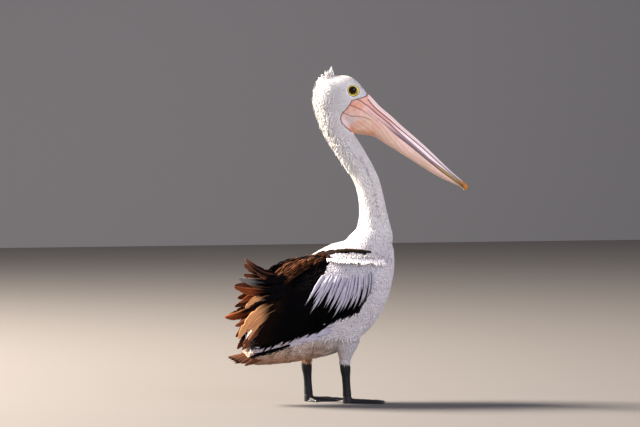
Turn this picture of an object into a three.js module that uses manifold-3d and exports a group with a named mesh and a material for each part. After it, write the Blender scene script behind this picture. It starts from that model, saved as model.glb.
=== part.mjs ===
// A life-size standing pelican, modelled whole and parted with thin cuts.
// Millimetres. +X is forward, +Y the bird's left, +Z up. The soles stand on z = 0.

import * as THREE from 'three';
import { mergeVertices } from 'three/addons/utils/BufferGeometryUtils.js';
import Module from 'manifold-3d';

const wasm = await Module();
wasm.setup();

// ---- Driving dimensions ----

const GAP = 0.3; // thin cut between neighbouring nodes
const GROWTH = 0.4; // how much a solid grows before its neighbour is cut by it
const SHIFT_X = 81.5; // brings the middle of the bird's length over the origin

const HEAD_TURN = THREE.MathUtils.degToRad(-12); // the head looks a little to the right
const TURN_X = 49; // upright line that the head turns about
const TURN_FROM = 560; // height in the neck where the turn starts
const TURN_TO = 860; // height where it is complete

const HEAD_NECK_CUT = { x: 40, z: 863, tilt: 26 }; // parting planes: a point, degrees from level
const MID_NECK_CUT = { x: 143, z: 702, tilt: -24 };
const NECK_BASE_CUT = { x: 175, z: 545, tilt: 0 };
const QUILL_CUT = { x: -160, z: 300, tilt: -75 }; // behind it the wing is flight feathers

const EYE = { x: 102, y: 25.5, z: 968, radius: 11 };

const LEG_SPREAD = 58; // each leg's distance from the mid-plane
const STRIDE = 85; // the left leg stands this far behind the right one
const RIGHT_LEG_X = 61;
const FEATHERED_TO = 122; // lowest point of the thigh's feathers
const FOOT_TOP = 22; // where the leg meets the foot
const WEB_THICKNESS = 3;
const FEATHER_EDGE = 0.8; // thickness of a vane at its edge
const FEATHER_SHAFT = 2.6; // and along its shaft

// ---- Loft tables, one row for each station ----

// Trunk, upright sections: x, top z, bottom z, half width.
const TRUNK = [
  [-252, 160, 130, 26],
  [-228, 245, 122, 54],
  [-180, 335, 120, 78],
  [-120, 402, 123, 95],
  [-60, 448, 129, 104],
  [0, 482, 138, 109],
  [50, 503, 151, 110],
  [100, 511, 176, 108],
  [144, 512, 209, 102],
  [180, 510, 250, 93],
  [208, 504, 296, 80],
  [227, 496, 342, 64],
  [238, 486, 391, 43],
  [242, 462, 428, 20],
];

// Neck: back x, back z, front x, front z, half width.
const NECK = [
  [36, 446, 232, 432, 76],
  [82, 509, 237, 506, 63],
  [117, 541, 231, 546, 51],
  [126, 592, 219, 595, 43],
  [122, 639, 208, 639, 39],
  [109, 679, 192, 694, 36.5],
  [84, 721, 167, 748, 35.5],
  [54, 769, 137, 797, 34.5],
  [26, 812, 111, 834, 34.5],
  [4, 858, 98, 862, 35.5],
  [-9, 902, 92, 900, 35],
];

// Head, upright sections: x, top z, bottom z, half width.
const HEAD = [
  [-17, 946, 928, 8],
  [-10, 978, 900, 20],
  [6, 1003, 878, 29],
  [34, 1014, 866, 35],
  [66, 1018, 856, 38],
  [92, 1017, 846, 38],
  [114, 1005, 840, 36],
  [134, 985, 838, 32],
  [150, 964, 842, 27],
  [160, 948, 860, 20],
];

// Bill and pouch: culmen x, culmen z, underside x, underside z, half width.
const BILL = [
  [124, 974, 76, 853, 33],
  [154, 957, 101, 836, 31],
  [190, 919, 128, 832, 28],
  [228, 885, 172, 822, 25],
  [256, 857, 207, 796, 22.5],
  [312, 812, 276, 758, 19.5],
  [347, 781, 312, 738, 18.5],
  [392, 739, 360, 709, 18],
  [428, 706, 403, 690, 17.5],
  [452, 687, 434, 677, 15],
  [466, 674, 455, 661, 9],
  [470, 668, 460, 655, 4],
];
const BILL_BASE = { x: 128, z: 897, tilt: 64 }; // plane where the horn meets the face
const TOMIUM = { from: [146, 918], to: [460, 668] }; // line between the upper and lower bill
const RAMUS = { from: [120, 885], to: [452, 672] }; // line between the lower bill and the pouch

// Folded wing, upright sections:
// x, top z, bottom z, y at the top, y at the bottom, outward bow, half thickness.
const WING = [
  [190, 402, 394, 84, 84, 0, 1],
  [176, 446, 350, 66, 86, 14, 8],
  [140, 464, 318, 52, 94, 27, 12],
  [80, 475, 287, 44, 100, 36, 15],
  [13, 472, 258, 38, 102, 42, 16],
  [-60, 462, 226, 32, 98, 44, 16],
  [-124, 446, 192, 27, 86, 41, 15],
  [-180, 404, 172, 22, 66, 36, 13],
  [-225, 318, 165, 20, 44, 25, 9],
  [-258, 218, 176, 22, 32, 8, 3],
];

// Wind-blown scapulars and tertials at the back of each wing:
// root x, root z, tip x, tip z, tip y, widest.
const FLARES_RIGHT = [
  [-162, 400, -265, 451, 66, 26],
  [-172, 384, -288, 392, 76, 27],
  [-172, 352, -281, 350, 70, 25],
  [-182, 328, -287, 298, 62, 26],
  [-185, 305, -286, 242, 60, 27],
  [-178, 290, -292, 206, 66, 31],
  [-215, 222, -266, 172, 30, 20],
];
const FLARES_LEFT = [
  [-160, 398, -226, 432, 60, 26],
  [-172, 374, -263, 365, 52, 27],
  [-178, 342, -250, 326, 62, 26],
  [-184, 315, -297, 271, 50, 28],
  [-184, 290, -256, 238, 52, 27],
  [-215, 222, -262, 170, 28, 20],
];

// Crest on the nape: tip x, tip z, tip y.
const CREST = [
  [36, 1045, 0],
  [20, 1034, -4],
  [3, 1020, 4],
];

const TAIL = { feathers: 9, fan: 24, root: -170, rootZ: 165, length: 120, drop: 0.14, width: 34 };

// Right thigh's feathers: front x, back x, z, half width.
const THIGH = [
  [124, 14, 236, 42],
  [112, 24, 190, 37],
  [96, 33, 160, 30],
  [85, 38, 140, 23],
  [79, 43, FEATHERED_TO, 17],
];

// Bare leg below it: forward shift of the middle, half length, z, half width.
const LEG = [
  [0, 16, FEATHERED_TO - GAP, 12],
  [1, 17.5, 106, 13],
  [3, 14, 84, 9.5],
  [5, 13, 55, 9],
  [7, 14.5, FOOT_TOP + GAP, 11.5],
];

// Toes from the ankle: length, degrees outward from straight ahead, half width.
const TOES = {
  hallux: [48, -82, 6],
  inner: [92, -22, 7.5],
  middle: [120, 4, 8.5],
  outer: [114, 30, 8],
};
const WEB_HOLLOW = 0.8; // how far the web's edge reaches between two toe tips

// ---- Solids ----

// A manifold solid from a geometry, turned right side out.
function solidFrom(geometry) {
  const plain = geometry.clone();
  plain.deleteAttribute('normal');
  plain.deleteAttribute('uv');
  const merged = mergeVertices(plain, 1e-4);
  const points = merged.attributes.position.array;
  const corners = Uint32Array.from(merged.index.array);
  if (signedVolume(points, corners) < 0) {
    for (let i = 0; i < corners.length; i += 3) {
      [corners[i], corners[i + 1]] = [corners[i + 1], corners[i]];
    }
  }
  const mesh = new wasm.Mesh({
    numProp: 3,
    vertProperties: Float32Array.from(points),
    triVerts: corners,
  });
  return new wasm.Manifold(mesh);
}

function signedVolume(points, corners) {
  const at = (i) => new THREE.Vector3().fromArray(points, 3 * i);
  let total = 0;
  for (let i = 0; i < corners.length; i += 3) {
    total += at(corners[i]).dot(at(corners[i + 1]).cross(at(corners[i + 2])));
  }
  return total / 6;
}

function geometryFrom(solid) {
  const mesh = solid.getMesh();
  const geometry = new THREE.BufferGeometry();
  geometry.setAttribute('position', new THREE.BufferAttribute(mesh.vertProperties, 3));
  geometry.setIndex(new THREE.BufferAttribute(mesh.triVerts, 1));
  geometry.computeVertexNormals();
  return geometry;
}

// One closed solid through a list of rings with the same number of points.
function skinRings(rings) {
  const sides = rings[0].length;
  const points = rings.flat();
  const corners = [];
  for (let r = 0; r + 1 < rings.length; r += 1) {
    for (let s = 0; s < sides; s += 1) {
      const a = r * sides + s;
      const b = r * sides + ((s + 1) % sides);
      corners.push(a, b, a + sides);
      corners.push(b, b + sides, a + sides);
    }
  }
  closeEnd(points, corners, rings[0], 0, true);
  closeEnd(points, corners, rings[rings.length - 1], (rings.length - 1) * sides, false);
  const geometry = new THREE.BufferGeometry().setFromPoints(points);
  geometry.setIndex(corners);
  return solidFrom(geometry);
}

function closeEnd(points, corners, ring, start, first) {
  const middle = new THREE.Vector3();
  ring.forEach((point) => middle.add(point));
  points.push(middle.divideScalar(ring.length));
  const hub = points.length - 1;
  ring.forEach((point, s) => {
    const next = start + ((s + 1) % ring.length);
    corners.push(...(first ? [next, start + s, hub] : [start + s, next, hub]));
  });
}

// Rows of a station table at even steps, smoothed through the given ones.
function smoothRows(table, count) {
  return Array.from({ length: count }, (_, i) => {
    const t = (i / (count - 1)) * (table.length - 1);
    const k = Math.min(Math.floor(t), table.length - 2);
    const f = t - k;
    const near = [k - 1, k, k + 1, k + 2].map((j) => {
      return table[Math.min(Math.max(j, 0), table.length - 1)];
    });
    return table[k].map((_, c) => {
      const [a, b, d, e] = near.map((row) => row[c]);
      const slopeIn = (d - a) / 2;
      const slopeOut = (e - b) / 2;
      const f2 = f * f;
      const f3 = f2 * f;
      return (
        b * (2 * f3 - 3 * f2 + 1) +
        slopeIn * (f3 - 2 * f2 + f) +
        d * (3 * f2 - 2 * f3) +
        slopeOut * (f3 - f2)
      );
    });
  });
}

// An oval ring spanned by a top and a bottom point, with a half width along Y.
function ovalRing([topX, topZ, lowX, lowZ, halfWidth], sides, middleY, grow) {
  const up = new THREE.Vector3(topX - lowX, 0, topZ - lowZ).multiplyScalar(0.5);
  const middle = new THREE.Vector3((topX + lowX) / 2, middleY, (topZ + lowZ) / 2);
  up.setLength(up.length() + grow);
  return Array.from({ length: sides }, (_, i) => {
    const angle = (2 * Math.PI * i) / sides;
    const point = middle.clone().addScaledVector(up, Math.cos(angle));
    point.y += (halfWidth + grow) * Math.sin(angle);
    return point;
  });
}

function ovalLoft(table, { count, sides, middleY = 0, grow = 0, bend = null }) {
  const rings = smoothRows(table, count).map((row) => ovalRing(row, sides, middleY, grow));
  if (bend) {
    rings.forEach((ring) => ring.forEach(bend));
  }
  return skinRings(rings);
}

// Everything on one side of a plane through a point, tilted about Y from level.
function halfSpace({ x, z, tilt }, above, clearance = GAP / 2) {
  const size = 4000;
  const geometry = new THREE.BoxGeometry(size, size, size);
  geometry.translate(0, 0, (above ? 1 : -1) * (size / 2 + clearance));
  geometry.rotateY(THREE.MathUtils.degToRad(tilt));
  geometry.translate(x, 0, z);
  return solidFrom(geometry);
}

function planeThrough({ from, to }) {
  const tilt = -THREE.MathUtils.radToDeg(Math.atan2(to[1] - from[1], to[0] - from[0]));
  return { x: from[0], z: from[1], tilt };
}

function joined(solids) {
  return solids.reduce((whole, solid) => whole.add(solid));
}

// Turns a point with the head; up the neck the turn comes in little by little.
function turnPoint(point, share) {
  const angle = HEAD_TURN * share;
  const x = point.x - TURN_X;
  const y = point.y;
  point.x = TURN_X + x * Math.cos(angle) - y * Math.sin(angle);
  point.y = x * Math.sin(angle) + y * Math.cos(angle);
}

function turnWithHead(point) {
  turnPoint(point, 1);
}

function turnWithNeck(point) {
  turnPoint(point, THREE.MathUtils.smoothstep(point.z, TURN_FROM, TURN_TO));
}

// ---- Trunk, neck and head ----

function uprightRows(table) {
  return table.map(([x, top, low, halfWidth]) => [x, top, x, low, halfWidth]);
}

function trunkLoft(grow) {
  return ovalLoft(uprightRows(TRUNK), { count: 19, sides: 22, grow });
}

function neckLoft(grow) {
  return ovalLoft(NECK, { count: 16, sides: 16, grow, bend: turnWithNeck });
}

function headLoft(grow) {
  return ovalLoft(uprightRows(HEAD), { count: 14, sides: 20, grow, bend: turnWithHead });
}

// A feather: a thin tapered vane from its root to its tip, facing along `face`.
function vane(root, tip, width, face) {
  const along = tip.clone().sub(root);
  const across = along.clone().cross(face).normalize();
  const out = across.clone().cross(along).normalize();
  const stations = [
    [0, 0.6],
    [0.3, 0.95],
    [0.6, 1],
    [0.85, 0.72],
    [1, 0.16],
  ];
  const rings = stations.map(([t, share]) => {
    const middle = root.clone().addScaledVector(along, t);
    const half = (width * share) / 2;
    const edge = FEATHER_EDGE / 2;
    const shaft = (FEATHER_SHAFT * (1 - 0.6 * t)) / 2;
    const outline = [
      [-half, -edge],
      [-half, edge],
      [0, shaft + edge],
      [half, edge],
      [half, -edge],
      [0, -shaft - edge],
    ];
    return outline.map(([a, o]) => {
      return middle.clone().addScaledVector(across, a).addScaledVector(out, o);
    });
  });
  return skinRings(rings);
}

function crest() {
  const root = new THREE.Vector3(24, 0, 1000);
  const face = new THREE.Vector3(0, 1, 0);
  return CREST.map(([x, z, y]) => {
    const tip = new THREE.Vector3(x, y, z);
    const from = root.clone();
    from.x = Math.min(root.x, x + 8);
    from.z = Math.min(root.z, z - 32);
    turnWithHead(tip);
    turnWithHead(from);
    return vane(from, tip, 14, face);
  });
}

function eyeBall(side, grow) {
  const geometry = new THREE.SphereGeometry(EYE.radius + grow, 12, 8);
  const middle = new THREE.Vector3(EYE.x, side * EYE.y, EYE.z);
  turnWithHead(middle);
  geometry.translate(middle.x, middle.y, middle.z);
  return solidFrom(geometry);
}

// ---- Bill ----

function billLoft(grow) {
  return ovalLoft(BILL, { count: 16, sides: 16, grow });
}

// The bill is parted before it turns with the head.
function turned(solid) {
  return solid.warp((point) => {
    const moved = new THREE.Vector3(...point);
    turnWithHead(moved);
    point[0] = moved.x;
    point[1] = moved.y;
  });
}

function billPieces() {
  const bill = billLoft(0).intersect(halfSpace(BILL_BASE, true));
  const tomium = planeThrough(TOMIUM);
  const ramus = planeThrough(RAMUS);
  const below = bill.intersect(halfSpace(tomium, false));
  return {
    upper_bill: turned(bill.intersect(halfSpace(tomium, true))),
    lower_bill: turned(below.intersect(halfSpace(ramus, true))),
    pouch: turned(below.intersect(halfSpace(ramus, false))),
  };
}

// ---- Wings and tail ----

// One upright section of a folded wing: a thin lens that bows outward.
function wingRing([x, top, low, topY, lowY, bow, halfThickness], side, grow) {
  const sides = 18;
  return Array.from({ length: sides }, (_, i) => {
    const angle = (2 * Math.PI * i) / sides;
    const down = (1 - Math.cos(angle)) / 2;
    const middleY = topY + (lowY - topY) * down + bow * Math.sin(Math.PI * down);
    const y = middleY + (halfThickness + grow) * Math.sin(angle);
    const z = top + grow + (low - top - 2 * grow) * down;
    return new THREE.Vector3(x, side * y, z);
  });
}

function wingLoft(side, grow) {
  return skinRings(smoothRows(WING, 15).map((row) => wingRing(row, side, grow)));
}

// How far out the middle of the wing lies at one place along it.
function wingMiddleY(x, z) {
  const rows = smoothRows(WING, 60);
  const row = rows.reduce((best, next) => {
    return Math.abs(next[0] - x) < Math.abs(best[0] - x) ? next : best;
  });
  const [, top, low, topY, lowY, bow] = row;
  const down = THREE.MathUtils.clamp((top - z) / (top - low), 0, 1);
  return topY + (lowY - topY) * down + bow * Math.sin(Math.PI * down);
}

function flares(side) {
  const table = side < 0 ? FLARES_RIGHT : FLARES_LEFT;
  return table.map(([rootX, rootZ, tipX, tipZ, tipY, width]) => {
    const root = new THREE.Vector3(rootX, side * wingMiddleY(rootX, rootZ), rootZ);
    const tip = new THREE.Vector3(tipX, side * tipY, tipZ);
    return vane(root, tip, width, new THREE.Vector3(0.35, side, 0.25));
  });
}

function tail() {
  const feathers = Array.from({ length: TAIL.feathers }, (_, i) => {
    const across = (2 * i) / (TAIL.feathers - 1) - 1;
    const angle = THREE.MathUtils.degToRad(TAIL.fan * across);
    const root = new THREE.Vector3(TAIL.root, 26 * across, TAIL.rootZ - 10 * across * across);
    const reach = TAIL.length * (1 - 0.1 * across * across);
    const tip = root.clone();
    tip.x -= reach * Math.cos(angle);
    tip.y += reach * Math.sin(angle);
    tip.z -= reach * TAIL.drop + 8 * across * across;
    return vane(root, tip, TAIL.width, new THREE.Vector3(TAIL.drop, 0.3 * across, 1));
  });
  return joined(feathers);
}

// ---- Legs and feet ----

function legX(side) {
  return RIGHT_LEG_X - (side > 0 ? STRIDE : 0);
}

function thigh(side) {
  const offset = legX(side) - RIGHT_LEG_X;
  const rows = THIGH.map(([front, back, z, halfWidth]) => {
    return [front + offset, z, back + offset, z, halfWidth];
  });
  return ovalLoft(rows, { count: 7, sides: 14, middleY: side * LEG_SPREAD });
}

function leg(side) {
  const rows = LEG.map(([shift, halfLength, z, halfWidth]) => {
    const x = legX(side) + shift;
    return [x + halfLength, z, x - halfLength, z, halfWidth];
  });
  return ovalLoft(rows, { count: 7, sides: 12, middleY: side * LEG_SPREAD });
}

function toeTip([length, outward], side, share = 1) {
  const angle = THREE.MathUtils.degToRad(outward) * side;
  return new THREE.Vector2(Math.cos(angle), Math.sin(angle)).multiplyScalar(length * share);
}

// A toe, rounded above and flat below, tapering to its claw.
function toe(spec, side) {
  const halfWidth = spec[2];
  const tip = toeTip(spec, side);
  const stations = [
    [-0.08, 0.9, 20],
    [0.12, 1, 16],
    [0.45, 0.85, 12],
    [0.8, 0.75, 10],
    [0.93, 0.5, 8],
    [1.02, 0.1, 3],
  ];
  const across = new THREE.Vector3(-tip.y, tip.x, 0).normalize();
  const rings = stations.map(([t, share, height]) => {
    return Array.from({ length: 6 }, (_, i) => {
      const angle = (Math.PI * i) / 5;
      const point = new THREE.Vector3(tip.x * t, tip.y * t, height * Math.sin(angle));
      return point.addScaledVector(across, halfWidth * share * Math.cos(angle));
    });
  });
  return skinRings(rings);
}

function web(side) {
  const { hallux, inner, middle, outer } = TOES;
  const heel = new THREE.Vector2(-12, 0);
  const shape = new THREE.Shape();
  shape.moveTo(heel.x, heel.y);
  const edge = [hallux, inner, middle, outer];
  edge.forEach((spec, i) => {
    const tip = toeTip(spec, side, 0.92);
    if (i === 0) {
      shape.lineTo(tip.x, tip.y);
    } else {
      const before = toeTip(edge[i - 1], side, 0.92);
      const bow = before.clone().add(tip).multiplyScalar(0.5 * WEB_HOLLOW);
      shape.quadraticCurveTo(bow.x, bow.y, tip.x, tip.y);
    }
  });
  shape.lineTo(heel.x, heel.y);
  const settings = { depth: WEB_THICKNESS, bevelEnabled: false, curveSegments: 4 };
  return solidFrom(new THREE.ExtrudeGeometry(shape, settings));
}

function ankle() {
  const rows = [
    [17, 0, -14, 0, 13],
    [17, 10, -14, 10, 13],
    [14.5, FOOT_TOP, -14.5, FOOT_TOP, 11.5],
  ];
  return ovalLoft(rows, { count: 3, sides: 12 });
}

function foot(side) {
  const toes = Object.values(TOES).map((spec) => toe(spec, side));
  const whole = joined([web(side), ankle(), ...toes]);
  const top = halfSpace({ x: 0, z: FOOT_TOP, tilt: 0 }, false, 0);
  return whole.intersect(top).translate(legX(side) + 7, side * LEG_SPREAD, 0);
}

// ---- The bird ----

const plumageWhite = { color: '#efece6', roughness: 0.9, metalness: 0 };
const plumageBlack = { color: '#1d1a19', roughness: 0.8, metalness: 0 };
const billPink = { color: '#e6b3a6', roughness: 0.45, metalness: 0 };
const pouchPink = { color: '#dba98c', roughness: 0.6, metalness: 0 };
const eyeBrown = { color: '#2a1710', roughness: 0.08, metalness: 0 };
const legSlate = { color: '#4a4a55', roughness: 0.7, metalness: 0 };

const pelican = new THREE.Group();
pelican.position.x = -SHIFT_X;

function place(name, solid, material) {
  const mesh = new THREE.Mesh(geometryFrom(solid), new THREE.MeshStandardMaterial(material));
  mesh.name = name;
  pelican.add(mesh);
}

const bill = billPieces();
const billRoom = turned(billLoft(GROWTH).intersect(halfSpace(BILL_BASE, true, -GROWTH)));
const flesh = joined([trunkLoft(0), neckLoft(0), headLoft(0), ...crest()]).subtract(billRoom);
const fleshGrown = joined([trunkLoft(GROWTH), neckLoft(GROWTH)]);

const sockets = joined([eyeBall(1, GAP), eyeBall(-1, GAP)]);
const aboveHead = flesh.intersect(halfSpace(HEAD_NECK_CUT, true));
const belowHead = flesh.intersect(halfSpace(HEAD_NECK_CUT, false));
const lowerFlesh = belowHead.intersect(halfSpace(MID_NECK_CUT, false));

place('head', aboveHead.subtract(sockets), plumageWhite);
place('neck_upper', belowHead.intersect(halfSpace(MID_NECK_CUT, true)), plumageWhite);
place('neck_lower', lowerFlesh.intersect(halfSpace(NECK_BASE_CUT, true)), plumageWhite);
place('trunk', lowerFlesh.intersect(halfSpace(NECK_BASE_CUT, false)), plumageWhite);

place('upper_bill', bill.upper_bill, billPink);
place('lower_bill', bill.lower_bill, billPink);
place('pouch', bill.pouch, pouchPink);

for (const [name, side] of [['left', 1], ['right', -1]]) {
  place(`eye_${name}`, eyeBall(side, 0), eyeBrown);
  const wing = wingLoft(side, 0).subtract(fleshGrown);
  const quills = joined([wing.intersect(halfSpace(QUILL_CUT, true)), ...flares(side)]);
  place(`wing_${name}`, wing.intersect(halfSpace(QUILL_CUT, false)), plumageBlack);
  place(`flight_feathers_${name}`, quills.subtract(fleshGrown), plumageBlack);
  place(`thigh_${name}`, thigh(side).subtract(fleshGrown), plumageWhite);
  place(`leg_${name}`, leg(side), legSlate);
  place(`foot_${name}`, foot(side), legSlate);
}
place('tail', tail().subtract(fleshGrown), plumageBlack);

export default pelican;
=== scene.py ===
import math

import bpy
import numpy as np
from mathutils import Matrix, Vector
from mathutils.bvhtree import BVHTree


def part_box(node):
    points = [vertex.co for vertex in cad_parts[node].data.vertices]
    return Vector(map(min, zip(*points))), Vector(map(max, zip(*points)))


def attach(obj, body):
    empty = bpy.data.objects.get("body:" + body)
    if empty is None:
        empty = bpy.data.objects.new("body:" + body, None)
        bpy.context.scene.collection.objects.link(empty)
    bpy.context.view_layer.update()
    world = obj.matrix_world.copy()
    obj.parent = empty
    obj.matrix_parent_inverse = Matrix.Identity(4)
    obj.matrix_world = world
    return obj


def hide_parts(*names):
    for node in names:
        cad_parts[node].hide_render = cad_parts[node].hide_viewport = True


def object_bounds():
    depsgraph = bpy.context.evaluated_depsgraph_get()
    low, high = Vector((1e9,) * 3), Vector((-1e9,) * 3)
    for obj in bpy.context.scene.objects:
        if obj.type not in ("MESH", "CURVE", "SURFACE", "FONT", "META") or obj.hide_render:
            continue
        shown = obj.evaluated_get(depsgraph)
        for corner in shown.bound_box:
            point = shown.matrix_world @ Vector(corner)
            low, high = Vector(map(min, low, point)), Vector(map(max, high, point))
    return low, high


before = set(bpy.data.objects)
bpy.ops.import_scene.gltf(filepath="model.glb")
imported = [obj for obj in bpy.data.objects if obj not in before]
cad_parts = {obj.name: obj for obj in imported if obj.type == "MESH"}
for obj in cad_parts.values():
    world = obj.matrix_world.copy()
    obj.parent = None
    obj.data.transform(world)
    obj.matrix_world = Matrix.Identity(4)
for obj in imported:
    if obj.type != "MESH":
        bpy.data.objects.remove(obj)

cad_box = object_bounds()

# ---- Studio ----
# A pale matt floor with a plain wall well behind it. One broad warm lamp stands high behind
# the bird's back, as low sun would, and a large cool one fills the side that faces the camera.
MM = 0.001
LEGS_AHEAD = 21 * MM  # how far the legs stand ahead of the bird's own origin on the floor


def middle_of(node):
    low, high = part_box(node)
    return np.array((low + high) / 2)


# The bird's own frame: its mid-plane lies half way between the legs, and z = 0 is the floor.
body_origin = (middle_of("leg_left") + middle_of("leg_right")) / 2
body_origin[0] -= LEGS_AHEAD
body_origin[2] = 0.0


def rgb(hex_colour):
    """A colour written as sRGB hex, as the linear values that the shaders want."""
    parts = [int(hex_colour[i : i + 2], 16) / 255 for i in (1, 3, 5)]
    linear = [c / 12.92 if c <= 0.04045 else ((c + 0.055) / 1.055) ** 2.4 for c in parts]
    return np.array(linear)


def add_node(material, kind, inputs=None, **settings):
    """Adds a node with its settings; inputs are values, or (node, output) links."""
    tree = material.node_tree
    node = tree.nodes.new(kind)
    for key, value in settings.items():
        setattr(node, key, value)
    for key, value in (inputs or {}).items():
        if isinstance(value, tuple) and isinstance(value[0], bpy.types.Node):
            tree.links.new(value[0].outputs[value[1]], node.inputs[key])
        else:
            node.inputs[key].default_value = value
    return node


def new_material(name):
    material = bpy.data.materials.new(name)
    material.use_nodes = True
    return material, material.node_tree.nodes["Principled BSDF"]


def link(material, source, output, target, socket):
    material.node_tree.links.new(source.outputs[output], target.inputs[socket])


def add_object(name, mesh, material=None):
    piece = bpy.data.objects.new(name, mesh)
    bpy.context.scene.collection.objects.link(piece)
    if material:
        mesh.materials.append(material)
    return piece


def stage_plane(name, low, high, hex_colour, roughness):
    """A plane between two opposite corners, in matt paint that keeps it free of reflections."""
    corners = [low, (high[0], low[1], low[2]), high, (low[0], high[1], high[2])]
    mesh = bpy.data.meshes.new(name)
    mesh.from_pydata(corners, [], [(0, 1, 2, 3)])
    material, shader = new_material(f"{name} matt paint")
    shader.inputs["Base Color"].default_value = (*rgb(hex_colour), 1)
    shader.inputs["Roughness"].default_value = roughness
    piece = add_object(name, mesh, material)
    return piece


# Metres: the stage reaches this far to the sides, in front and behind, and the wall this high.
STAGE_SIDE, STAGE_FRONT, STAGE_BACK = 16, -14, 13
WALL_FOOT, WALL_TOP = -1, 9
floor_corners = (-STAGE_SIDE, STAGE_FRONT, 0), (STAGE_SIDE, STAGE_BACK, 0)
wall_corners = (-STAGE_SIDE, STAGE_BACK, WALL_FOOT), (STAGE_SIDE, STAGE_BACK, WALL_TOP)
stage_plane("studio_floor", *floor_corners, "#5f5c59", 0.85)
stage_plane("studio_wall", *wall_corners, "#7c7d82", 0.95)

VIEW_TURN = math.radians(-20)
VIEW_RISE = math.radians(1.5)
VIEW_DISTANCE = 10.0
VIEW_HEIGHT = 0.587
MM_PER_PIXEL = 3.1
FRAME_PIXELS = 640
SENSOR = 36.0
CLIP_END = 100
view_target = Vector((body_origin[0], body_origin[1], VIEW_HEIGHT))
view_back = Vector(
    (
        math.sin(VIEW_TURN) * math.cos(VIEW_RISE),
        -math.cos(VIEW_TURN) * math.cos(VIEW_RISE),
        math.sin(VIEW_RISE),
    )
)
camera = bpy.data.objects.new("camera", bpy.data.cameras.new("camera"))
camera.data.sensor_width = SENSOR
camera.data.lens = SENSOR * VIEW_DISTANCE / (FRAME_PIXELS * MM_PER_PIXEL * MM)
camera.data.clip_end = CLIP_END
camera.location = view_target + view_back * VIEW_DISTANCE
camera.rotation_mode = "QUATERNION"
camera.rotation_quaternion = (-view_back).to_track_quat("-Z", "Y")
bpy.context.scene.collection.objects.link(camera)
bpy.context.scene.camera = camera

LAMP_AIM = Vector((0, 0, 0.55))  # both lamps look at the middle of the bird
AIR_STRENGTH = 0.5


def area_lamp(name, place, size, watts, hex_colour):
    lamp = bpy.data.lights.new(name, "AREA")
    lamp.size = size
    lamp.energy = watts
    lamp.color = rgb(hex_colour)
    holder = bpy.data.objects.new(name, lamp)
    holder.location = place
    holder.rotation_mode = "QUATERNION"
    holder.rotation_quaternion = (LAMP_AIM - Vector(place)).to_track_quat("-Z", "Y")
    bpy.context.scene.collection.objects.link(holder)


area_lamp("key_lamp", (-5.6, 3.9, 4.9), 2.6, 4900, "#fff2e4")
area_lamp("fill_lamp", (1.4, -4.4, 2.5), 3.6, 232, "#f0ebfc")
studio_air = bpy.data.worlds.new("studio_air")
studio_air.use_nodes = True
background = studio_air.node_tree.nodes["Background"]
background.inputs["Color"].default_value = (*rgb("#c9cbdc"), 1)
background.inputs["Strength"].default_value = AIR_STRENGTH
bpy.context.scene.world = studio_air
bpy.context.scene.view_settings.view_transform = "Standard"

# ---- Skin ----
# One unbroken skin under all the plumage, from the face down the neck and over the folded
# wings to the thighs. It lies a few millimetres inside the feathered outline.

# The head's own frame: millimetres ahead, to the left and up from the middle between the eyes,
# square to the line through both of them.
eye_line = middle_of("eye_left") - middle_of("eye_right")
head_origin = (middle_of("eye_left") + middle_of("eye_right")) / 2
head_side = eye_line / np.linalg.norm(eye_line)
head_front = np.cross(head_side, (0.0, 0.0, 1.0))
head_axes = np.stack([head_front, head_side, (0.0, 0.0, 1.0)])


def in_body(points):
    return (np.asarray(points) - body_origin) / MM


def in_head(points):
    return (np.asarray(points) - head_origin) @ head_axes.T / MM


def from_head(points):
    return np.asarray(points) * MM @ head_axes + head_origin


FLESH = ["head", "neck_upper", "neck_lower", "trunk", "wing_left", "wing_right"]
FLESH += ["flight_feathers_left", "flight_feathers_right", "thigh_left", "thigh_right"]
BILL_NODES = ["upper_bill", "lower_bill", "pouch"]
GRID_STEP = 3.4 * MM
GRID_MARGIN = 6  # steps left free round the solids
SKIN_BLUR = 1.25  # in steps: rounds the joints between the solids
SKIN_LEVEL = 0.7  # share of solid around a point that still counts as skin
RAY_NUDGE = 1.7e-5  # keeps a ray off the exact edges of a solid
RAY_STEP = 2e-6  # lets a ray go on from the face it has just met


def node_arrays(name):
    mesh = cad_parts[name].data
    points = np.empty(len(mesh.vertices) * 3)
    mesh.vertices.foreach_get("co", points)
    return points.reshape(-1, 3), [tuple(face.vertices) for face in mesh.polygons]


def tree_of(points, faces):
    return BVHTree.FromPolygons([tuple(p) for p in points], faces)


def fill_grid(names, low, counts, step):
    """Marks the grid points that lie inside any of the nodes, by rays sent along Y."""
    filled = np.zeros(counts, np.float32)
    ahead = Vector((0, 1, 0))
    for name in names:
        points, faces = node_arrays(name)
        tree = tree_of(points, faces)
        first = np.maximum(np.floor((points.min(0) - low) / step).astype(int), 0)
        last = np.minimum(np.ceil((points.max(0) - low) / step).astype(int), np.array(counts) - 1)
        for i in range(first[0], last[0] + 1):
            for k in range(first[2], last[2] + 1):
                place = low + np.array([i, 0, k]) * step + RAY_NUDGE
                place[1] = points[:, 1].min() - step
                crossings = []
                start = Vector(place)
                hit = tree.ray_cast(start, ahead)
                while hit[0] is not None:
                    crossings.append(hit[0].y)
                    start = hit[0] + ahead * RAY_STEP
                    hit = tree.ray_cast(start, ahead)
                for enter, leave in zip(crossings[::2], crossings[1::2]):
                    j0 = math.ceil((enter - low[1]) / step)
                    j1 = math.floor((leave - low[1]) / step)
                    filled[i, j0 : j1 + 1, k] = 1
    return filled


def blurred(field, spread):
    """The field blurred by a bell curve, spread in grid steps."""
    reach = math.ceil(2.5 * spread)
    weights = np.exp(-0.5 * (np.arange(-reach, reach + 1) / spread) ** 2)
    weights /= weights.sum()
    for axis in range(3):
        total = np.zeros_like(field)
        for shift, weight in zip(range(-reach, reach + 1), weights):
            total += np.float32(weight) * np.roll(field, shift, axis)
        field = total
    return field


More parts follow.
